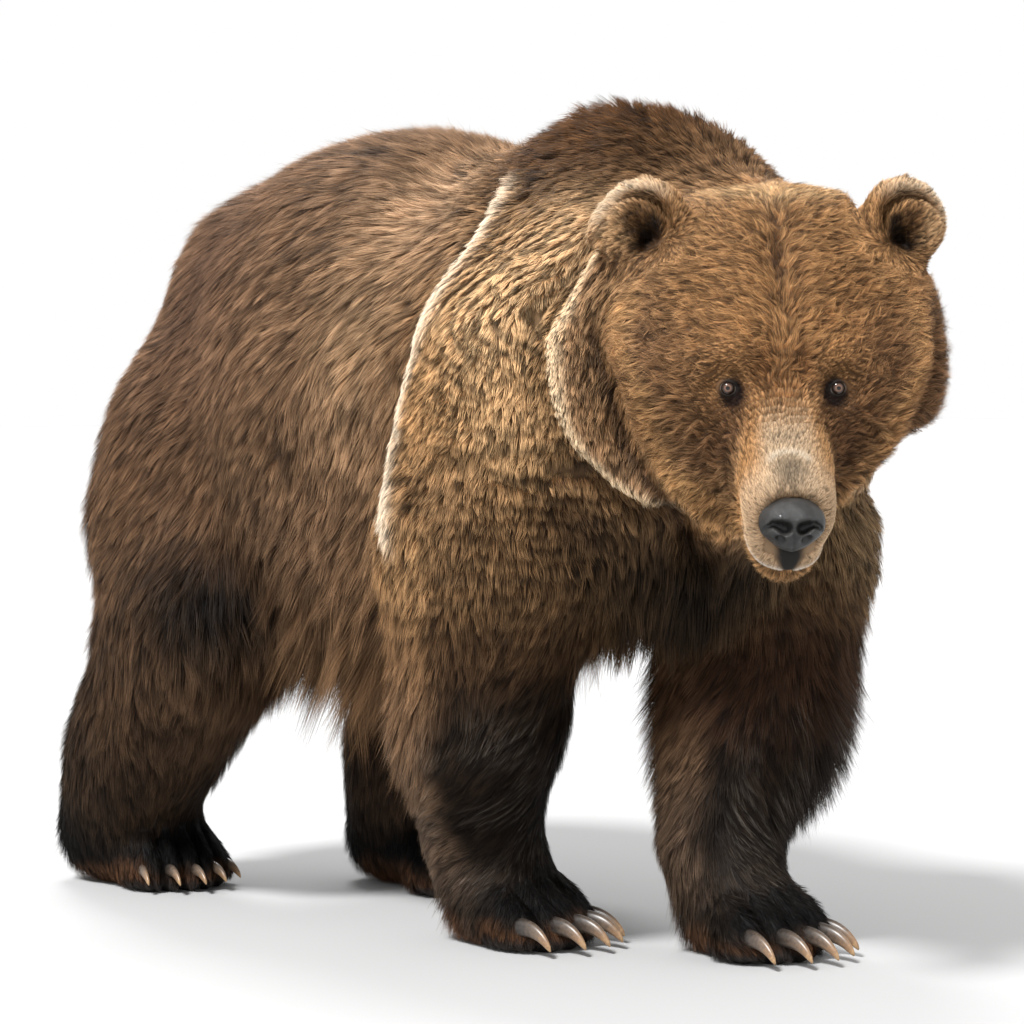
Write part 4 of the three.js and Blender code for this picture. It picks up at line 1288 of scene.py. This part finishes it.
def ribbon_triangles(steps):
    """The corners of one ribbon's triangles, and where its corners lie in its patch of the unwrap."""
    triangles = []
    for k in range(0, 2 * steps - 2, 2):
        triangles += [k, k + 1, k + 3, k, k + 3, k + 2]
    triangles += [2 * steps - 2, 2 * steps - 1, 2 * steps]
    aside = np.append(np.tile((0.0, 1.0), steps), 0.5)
    down = np.append(np.repeat(np.arange(steps) / steps, 2), 1)
    return np.array(triangles), np.stack((aside, down), axis=1) * PATCH


def coat_piece(name, hairs, chosen, chart, steps, slot):
    """One piece of the coat: a ribbon of so many steps for each chosen hair, drawn to its tuft's leader."""
    h = {key: value[chosen] for key, value in hairs.items()}
    lines = spines(*(h[key] for key in LINE_KEYS), steps)
    guides = spines(*(hairs[key][h["chief"]] for key in LINE_KEYS), steps)
    drawn = h["gather"][:, None] * np.linspace(0, 1, steps + 1) ** 1.4
    lines += drawn[..., None] * (guides - lines)
    points = ribbons(lines, h["normals"], h["width"])
    triangles, spread = ribbon_triangles(steps)
    index = (np.arange(len(points))[:, None] * points.shape[1] + triangles).ravel()
    unwrap = (chart[:, None] + spread[triangles]).reshape(-1, 2)

    mesh = bpy.data.meshes.new(name)
    mesh.vertices.add(points.shape[0] * points.shape[1])
    mesh.vertices.foreach_set("co", points.ravel())
    mesh.loops.add(len(index))
    mesh.loops.foreach_set("vertex_index", index)
    mesh.polygons.add(len(index) // 3)
    mesh.polygons.foreach_set("loop_start", np.arange(0, len(index), 3))
    put_pelt(mesh, ribbon_colours(lines, h["weights"], h["shade"]).reshape(-1, 3))
    layer = mesh.uv_layers.new(name="OFBake")
    layer.data.foreach_set("uv", unwrap.ravel())
    mesh.update()
    finished(name, mesh, fur, slot)


def make_coat(skin_mesh):
    """The coat in pieces, region by region, then the ears'."""
    hairs = grown(skin_mesh)
    for number, (name, (_, steps, slot)) in enumerate(REGIONS.items()):
        chosen = np.flatnonzero((hairs["region"] == number) & (hairs["ears"] < 0.5))
        roots = hairs["roots"][chosen]
        chart = chart_of(name, roots)
        if name in HALVED:
            left = (head_view(roots)[0] if name in ("crown", "face", "neck") else roots[:, 0]) > 0
            coat_piece(f"coat_{name}_left", hairs, chosen[left], chart[left], steps, slot)
            coat_piece(f"coat_{name}_right", hairs, chosen[~left], chart[~left], steps, slot)
        else:
            coat_piece("coat_" + name, hairs, chosen, chart, steps, slot)
    side = head_view(hairs["roots"])[0]
    for name, turn in SIDES.items():
        chosen = np.flatnonzero((hairs["ears"] >= 0.5) & (np.sign(side) == turn))
        chart = chart_of("ear_" + name, hairs["roots"][chosen])
        coat_piece("coat_ear_" + name, hairs, chosen, chart, 1, "coat")


# ---- Finishes -------------------------------------------------------------------------------------


class Shade:
    """A socket of a finish, with the maths that masks need."""

    def __init__(self, finish, socket):
        self.finish, self.socket = finish, socket

    def _math(self, operation, first, second):
        return self.finish.add("ShaderNodeMath", {"operation": operation}, {0: first, 1: second})

    def __add__(self, other):
        return self._math("ADD", self, other)

    __radd__ = __add__

    def __mul__(self, other):
        return self._math("MULTIPLY", self, other)

    __rmul__ = __mul__

    def __sub__(self, other):
        return self._math("SUBTRACT", self, other)

    def __rsub__(self, other):
        return self._math("SUBTRACT", other, self)


class Finish:
    """A material and the nodes that make its finish."""

    def __init__(self, name, **sockets):
        self.material = bpy.data.materials.new(name)
        self.material.use_nodes = True
        self.tree = self.material.node_tree
        self.shader = self.tree.nodes["Principled BSDF"]
        for socket, value in sockets.items():
            self.put(socket.replace("_", " "), value)

    def put(self, socket, value, node=None):
        """Gives a socket of a node, or of the shader, its value or its link."""
        target = (node or self.shader).inputs[socket]
        if isinstance(value, Shade):
            self.tree.links.new(value.socket, target)
        else:
            target.default_value = value

    def add(self, kind, settings=None, values=None, output=0):
        """A node of a kind, with its settings and the values or links of its sockets."""
        node = self.tree.nodes.new(kind)
        for key, value in (settings or {}).items():
            if key == "stops":
                ramp = node.color_ramp
                while len(ramp.elements) < len(value):
                    ramp.elements.new(1)
                for stop, (where, colour) in zip(ramp.elements, value):
                    stop.position, stop.color = where, (*linear(colour), 1.0)
            else:
                setattr(node, key, value)
        for key, value in (values or {}).items():
            self.put(key, value, node)
        return Shade(self, node.outputs[output])

    def here(self):
        """A place on the object, in metres."""
        return self.add("ShaderNodeTexCoord", output=3)

    def measure(self, name, output=2):
        """A measure painted on the mesh: its number, or its colour at output 0."""
        return self.add("ShaderNodeAttribute", {"attribute_name": name}, output=output)

    def noise(self, scale, detail):
        return self.add("ShaderNodeTexNoise", None, {"Vector": self.here(), "Scale": scale, "Detail": detail})

    def ramp(self, value, *stops):
        return self.add("ShaderNodeValToRGB", {"stops": stops}, {0: value})

    def bump(self, strength, distance, height):
        values = {"Strength": strength, "Distance": distance, "Height": height}
        return self.add("ShaderNodeBump", None, values)


fur = Finish("coat_hair", Roughness=0.55, Specular_IOR_Level=0.08)
fur.put("Base Color", fur.measure("pelt", output=0))

hide = Finish("skin_hide", Roughness=0.75, Specular_IOR_Level=0.25)
hide.put("Base Color", hide.measure("pelt", output=0))
hide.put("Normal", hide.bump(0.4, 0.0012, hide.noise(700.0, 3.0)))

eye_gloss = Finish(
    "eye_gloss", Roughness=0.12, Specular_IOR_Level=0.25, Coat_Weight=0.45, Coat_Roughness=0.02)
# painted reflections: the pale ring round the pupil, and partly the pale ring at the iris's edge
eye_gloss.put("Base Color", eye_gloss.ramp(
    eye_gloss.measure("ring") + (eye_gloss.noise(900.0, 3.0) - 0.5) * 0.08,
    (0.0, 0x050303), (0.17, 0x0A0605), (0.24, 0x6E5242), (0.33, 0x5A4032), (0.42, 0x2A1C14),
    (0.62, 0x1C1511), (0.69, 0x3A332E), (0.75, 0x746C64), (0.80, 0x4A4440), (0.86, 0x0A0706)))

nose_leather = Finish("nose_leather", Roughness=0.45, Specular_IOR_Level=0.4, Coat_Weight=0.1)
grain = nose_leather.add("ShaderNodeTexVoronoi", {"feature": "DISTANCE_TO_EDGE"},
                         {"Vector": nose_leather.here(), "Scale": 520.0})
nose_leather.put("Base Color", nose_leather.ramp(
    nose_leather.noise(60.0, 4.0), (0.3, 0x181716), (0.7, 0x302F2E)))
nose_leather.put("Normal", nose_leather.bump(0.35, 0.0006, grain * 6.0))

horn = Finish("claw_horn", Roughness=0.34, Specular_IOR_Level=0.55)
horn.put("Base Color", horn.ramp(
    horn.measure("ring") + (horn.noise(240.0, 4.0) - 0.5) * 0.5,
    (0.0, 0x14110F), (0.25, 0x342D28), (0.55, 0x5E5044), (0.85, 0x86694E), (1.0, 0xA88862)))


def put_ring(mesh, values):
    """Paints the measure that the eyes' rings or a claw's length are coloured by."""
    measure = mesh.attributes.new("ring", "FLOAT", "POINT")
    measure.data.foreach_set("value", np.asarray(values, np.float32))


def put_pelt(mesh, colours):
    """Paints the coat's colours."""
    paint = mesh.attributes.new("pelt", "FLOAT_COLOR", "POINT")
    paint.data.foreach_set("color", np.hstack((colours, np.ones((len(colours), 1)))).ravel())


def finished(name, mesh, finish, slot, *nodes):
    """A smooth piece, which may stand for nodes."""
    mesh.polygons.foreach_set("use_smooth", np.ones(len(mesh.polygons), bool))
    mesh.materials.append(finish.material)
    piece = new_piece(name, mesh)
    if nodes:
        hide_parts(*nodes)
    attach(piece, "root")


# ---- Eyes, nose and claws -------------------------------------------------------------------------


def make_eye(side, turn, middle):
    """An eyeball with its cornea, and the measure out from its pupil."""
    work = bmesh.new()
    bmesh.ops.create_uvsphere(work, u_segments=40, v_segments=40, radius=EYE_RADIUS * MM)
    mesh = mesh_from(work, "eye_" + side)
    places = vertices_of(mesh)
    look = unit(turn * 0.09 * HEAD_LEFT - 0.03 * HEAD_LEFT + 0.72 * HEAD_ALONG + 0.69 * HEAD_OUT)
    ring = np.linalg.norm(places - (places @ look)[:, None] * look, axis=1) / (EYE_RADIUS * MM)
    ring[places @ look < 0] = 1
    cornea = 1 + 0.07 * fall(0.3, 0.72, ring)
    put_vertices(mesh, places * cornea[:, None] + middle)
    put_ring(mesh, ring)
    finished("eyeball_" + side, mesh, eye_gloss, "eye", "eye_" + side)


NOSE_MIDDLE = on_head(0, 191, -34)
# The comma of a nostril: aside and up from the nose's middle, half width, depth
NOSTRIL = ((11, -3, 7.6, 17), (17, 0, 6.0, 15), (24.5, 2, 4.2, 11), (31.5, -2, 3.0, 7), (36, -9, 2.2, 4))


def make_nose():
    """The nose pad: narrower below, flatter on top, with nostrils and a groove."""
    solid = mesh_from(merged("nose"), "nose_copy")
    mesh = with_modifier(solid, "REMESH", mode="VOXEL", voxel_size=1.5 * MM, adaptivity=0.0)
    edges = edges_of(mesh)
    places = relaxed(vertices_of(mesh), edges, 30, 0.5)
    away = (places - NOSE_MIDDLE) / MM
    aside, up, ahead = away @ HEAD_LEFT, away[:, 2], away @ HEAD_LEVEL
    wide = np.abs(aside)
    places -= HEAD_LEFT * (aside * 0.22 * rise(-6, -34, up) * MM)[:, None]
    push = 2.2 * mound((wide, 20, 13), (up, 9, 6))  # above the nostrils
    push += 3.4 * mound((wide, 21, 12), (up, -13, 7))  # below them
    push -= 2.4 * hill(wide, 0, 2.0) * rise(-4, -12, up)  # groove
    cut = np.zeros(len(places))
    for (x0, y0, w0, d0), (x1, y1, w1, d1) in zip(NOSTRIL, NOSTRIL[1:]):
        run, climb = x1 - x0, y1 - y0
        t = np.clip(((wide - x0) * run + (up - y0) * climb) / (run ** 2 + climb ** 2), 0, 1)
        reach = np.hypot(wide - x0 - t * run, up - y0 - t * climb)
        cut = np.maximum(cut, (d0 + t * (d1 - d0)) * np.exp(-(reach / (w0 + t * (w1 - w0))) ** 4))
    places += HEAD_LEVEL * ((push - cut) * rise(-4, 8, ahead) * MM)[:, None]
    put_vertices(mesh, relaxed(places, edges, 2, 0.4))
    finished("nose_pad", mesh, nose_leather, "nose_leather", "nose")


CLAW_RINGS, CLAW_SIDES = 14, 16
CLAW_THICK = 0.2  # of its length, half across at the root
CLAW_HUNCH = 0.30  # of its length, how far its back is raised


def claw_blank():
    """A round rod, one unit long and one from its middle to its side, in rings."""
    work = bmesh.new()
    bmesh.ops.create_circle(work, segments=CLAW_SIDES, radius=1)
    rim = list(work.edges)
    for _ in range(CLAW_RINGS - 1):
        drawn = bmesh.ops.extrude_edge_only(work, edges=rim)["geom"]
        verts = [part for part in drawn if isinstance(part, bmesh.types.BMVert)]
        bmesh.ops.translate(work, verts=verts, vec=(0, 0, 1 / (CLAW_RINGS - 1)))
        ends = set(verts)
        rim = [part for part in drawn
               if isinstance(part, bmesh.types.BMEdge) and ends.issuperset(part.verts)]
    bmesh.ops.holes_fill(work, edges=work.edges, sides=0)
    return work


def claw_ends(node):
    """The middle of a claw's root and its tip, from its solid."""
    solid = vertices_of(mesh_from(merged(node), node + "_copy"))
    apart = np.linalg.norm(solid[:, None] - solid[None], axis=2)
    first, last = np.unravel_index(apart.argmax(), apart.shape)
    tip = solid[first] if solid[first][1] < solid[last][1] else solid[last]
    reach = np.linalg.norm(solid - tip, axis=1)
    return solid[reach > 0.8 * reach.max()].mean(axis=0), tip


def make_claw(node):
    """A hooked claw over its solid: round above, flat below, from a thick root to a blunt point."""
    root, tip = claw_ends(node)
    length = np.linalg.norm(tip - root)
    hunch = (root + tip) / 2 + UP * CLAW_HUNCH * length + unit(tip - root) * 0.10 * length
    aside = unit(np.cross(tip - root, UP))
    mesh = mesh_from(claw_blank(), node)
    blank = vertices_of(mesh)
    t = blank[:, 2:]
    centre = (1 - t) ** 2 * root + 2 * t * (1 - t) * hunch + t * t * tip
    run = unit(2 * (1 - t) * (hunch - root) + 2 * t * (tip - hunch))
    over = np.cross(aside, run)
    over = over * np.sign(over @ UP)[:, None]
    size = CLAW_THICK * length * (0.10 + 0.90 * (1 - t) ** 0.62)
    high = blank[:, 1:2] * np.where(blank[:, 1:2] > 0, 1.25, 0.8)
    put_vertices(mesh, centre + size * (0.74 * blank[:, :1] * aside + high * over))
    work = bmesh.new()
    work.from_mesh(mesh)
    bmesh.ops.recalc_face_normals(work, faces=work.faces)
    work.to_mesh(mesh)
    work.free()
    put_ring(mesh, t[:, 0])
    finished(node.replace("claw", "nail"), mesh, horn, "horn", node)


# ---- The bear -------------------------------------------------------------------------------------

skin_mesh = make_skin()
finished("skin", skin_mesh, hide, "coat", *FLESH)
make_eye("left", SIDES["left"], left_eye)
make_eye("right", SIDES["right"], right_eye)
make_nose()
for node in CLAWS:
    make_claw(node)
skin_places = vertices_of(skin_mesh)
put_pelt(skin_mesh, coat_colour_with_painted_light(skin_places, bone_weights(skin_places)) * (0.2 + 0.5 * ROOT_SHADE))
make_coat(skin_mesh)

# ---- Camera, floor and light ----------------------------------------------------------------------

CAMERA_HEIGHT = 804 * MM
CAMERA_AWAY, CAMERA_ASIDE = 5220, 97  # millimetres from the middle of the stance, and to the view's right
VIEW_TURN = math.radians(-40)  # round the bear from straight ahead of it, to its right
PICTURE = 1024  # pixels across
FOCUS = 3640  # pixels from the lens to the picture
HORIZON = 157  # pixels that the picture's middle lies below the horizon
VIEW_DOWN = math.atan(HORIZON / FOCUS)
SENSOR = 36  # millimetres across
FLOOR_GREY = 0.42


def add_sun(name, from_where, power, spread):
    light = bpy.data.lights.new(name, "SUN")
    light.energy = power
    light.angle = math.radians(spread)
    lamp = new_piece(name, light)
    lamp.rotation_euler = Vector(-from_where).to_track_quat("-Z", "Y").to_euler()


lens = bpy.data.cameras.new("camera")
lens.sensor_width = SENSOR
lens.lens = SENSOR * FOCUS / PICTURE
camera = new_piece("camera", lens)
toward = np.array((math.sin(VIEW_TURN), -math.cos(VIEW_TURN), 0))
right = np.array((math.cos(VIEW_TURN), math.sin(VIEW_TURN), 0))
stand = STANCE + toward * CAMERA_AWAY * MM + right * CAMERA_ASIDE * MM
camera.location = (stand[0], stand[1], CAMERA_HEIGHT)
camera.rotation_euler = (math.pi / 2 - VIEW_DOWN, 0, VIEW_TURN)
bpy.context.scene.camera = camera

grid = bmesh.new()
bmesh.ops.create_grid(grid, x_segments=1, y_segments=1, size=30)
floor = new_piece("floor", mesh_from(grid, "floor"))
floor_paint = Finish("floor_paint", Base_Color=(FLOOR_GREY, FLOOR_GREY, FLOOR_GREY, 1), Roughness=0.9)
floor.data.materials.append(floor_paint.material)

world = bpy.data.worlds.new("studio")
world.use_nodes = True
world.node_tree.nodes["Background"].inputs["Color"].default_value = (1, 1, 1, 1)
world.node_tree.nodes["Background"].inputs["Strength"].default_value = 1.0
bpy.context.scene.world = world
bpy.context.scene.view_settings.view_transform = "Standard"

add_sun("key", toward * 1.0 - right * 0.75 + UP * 1.6, 5.0, 12)
add_sun("rim", -toward * 1.0 - right * 0.25 + UP * 1.3, 1.6, 18)
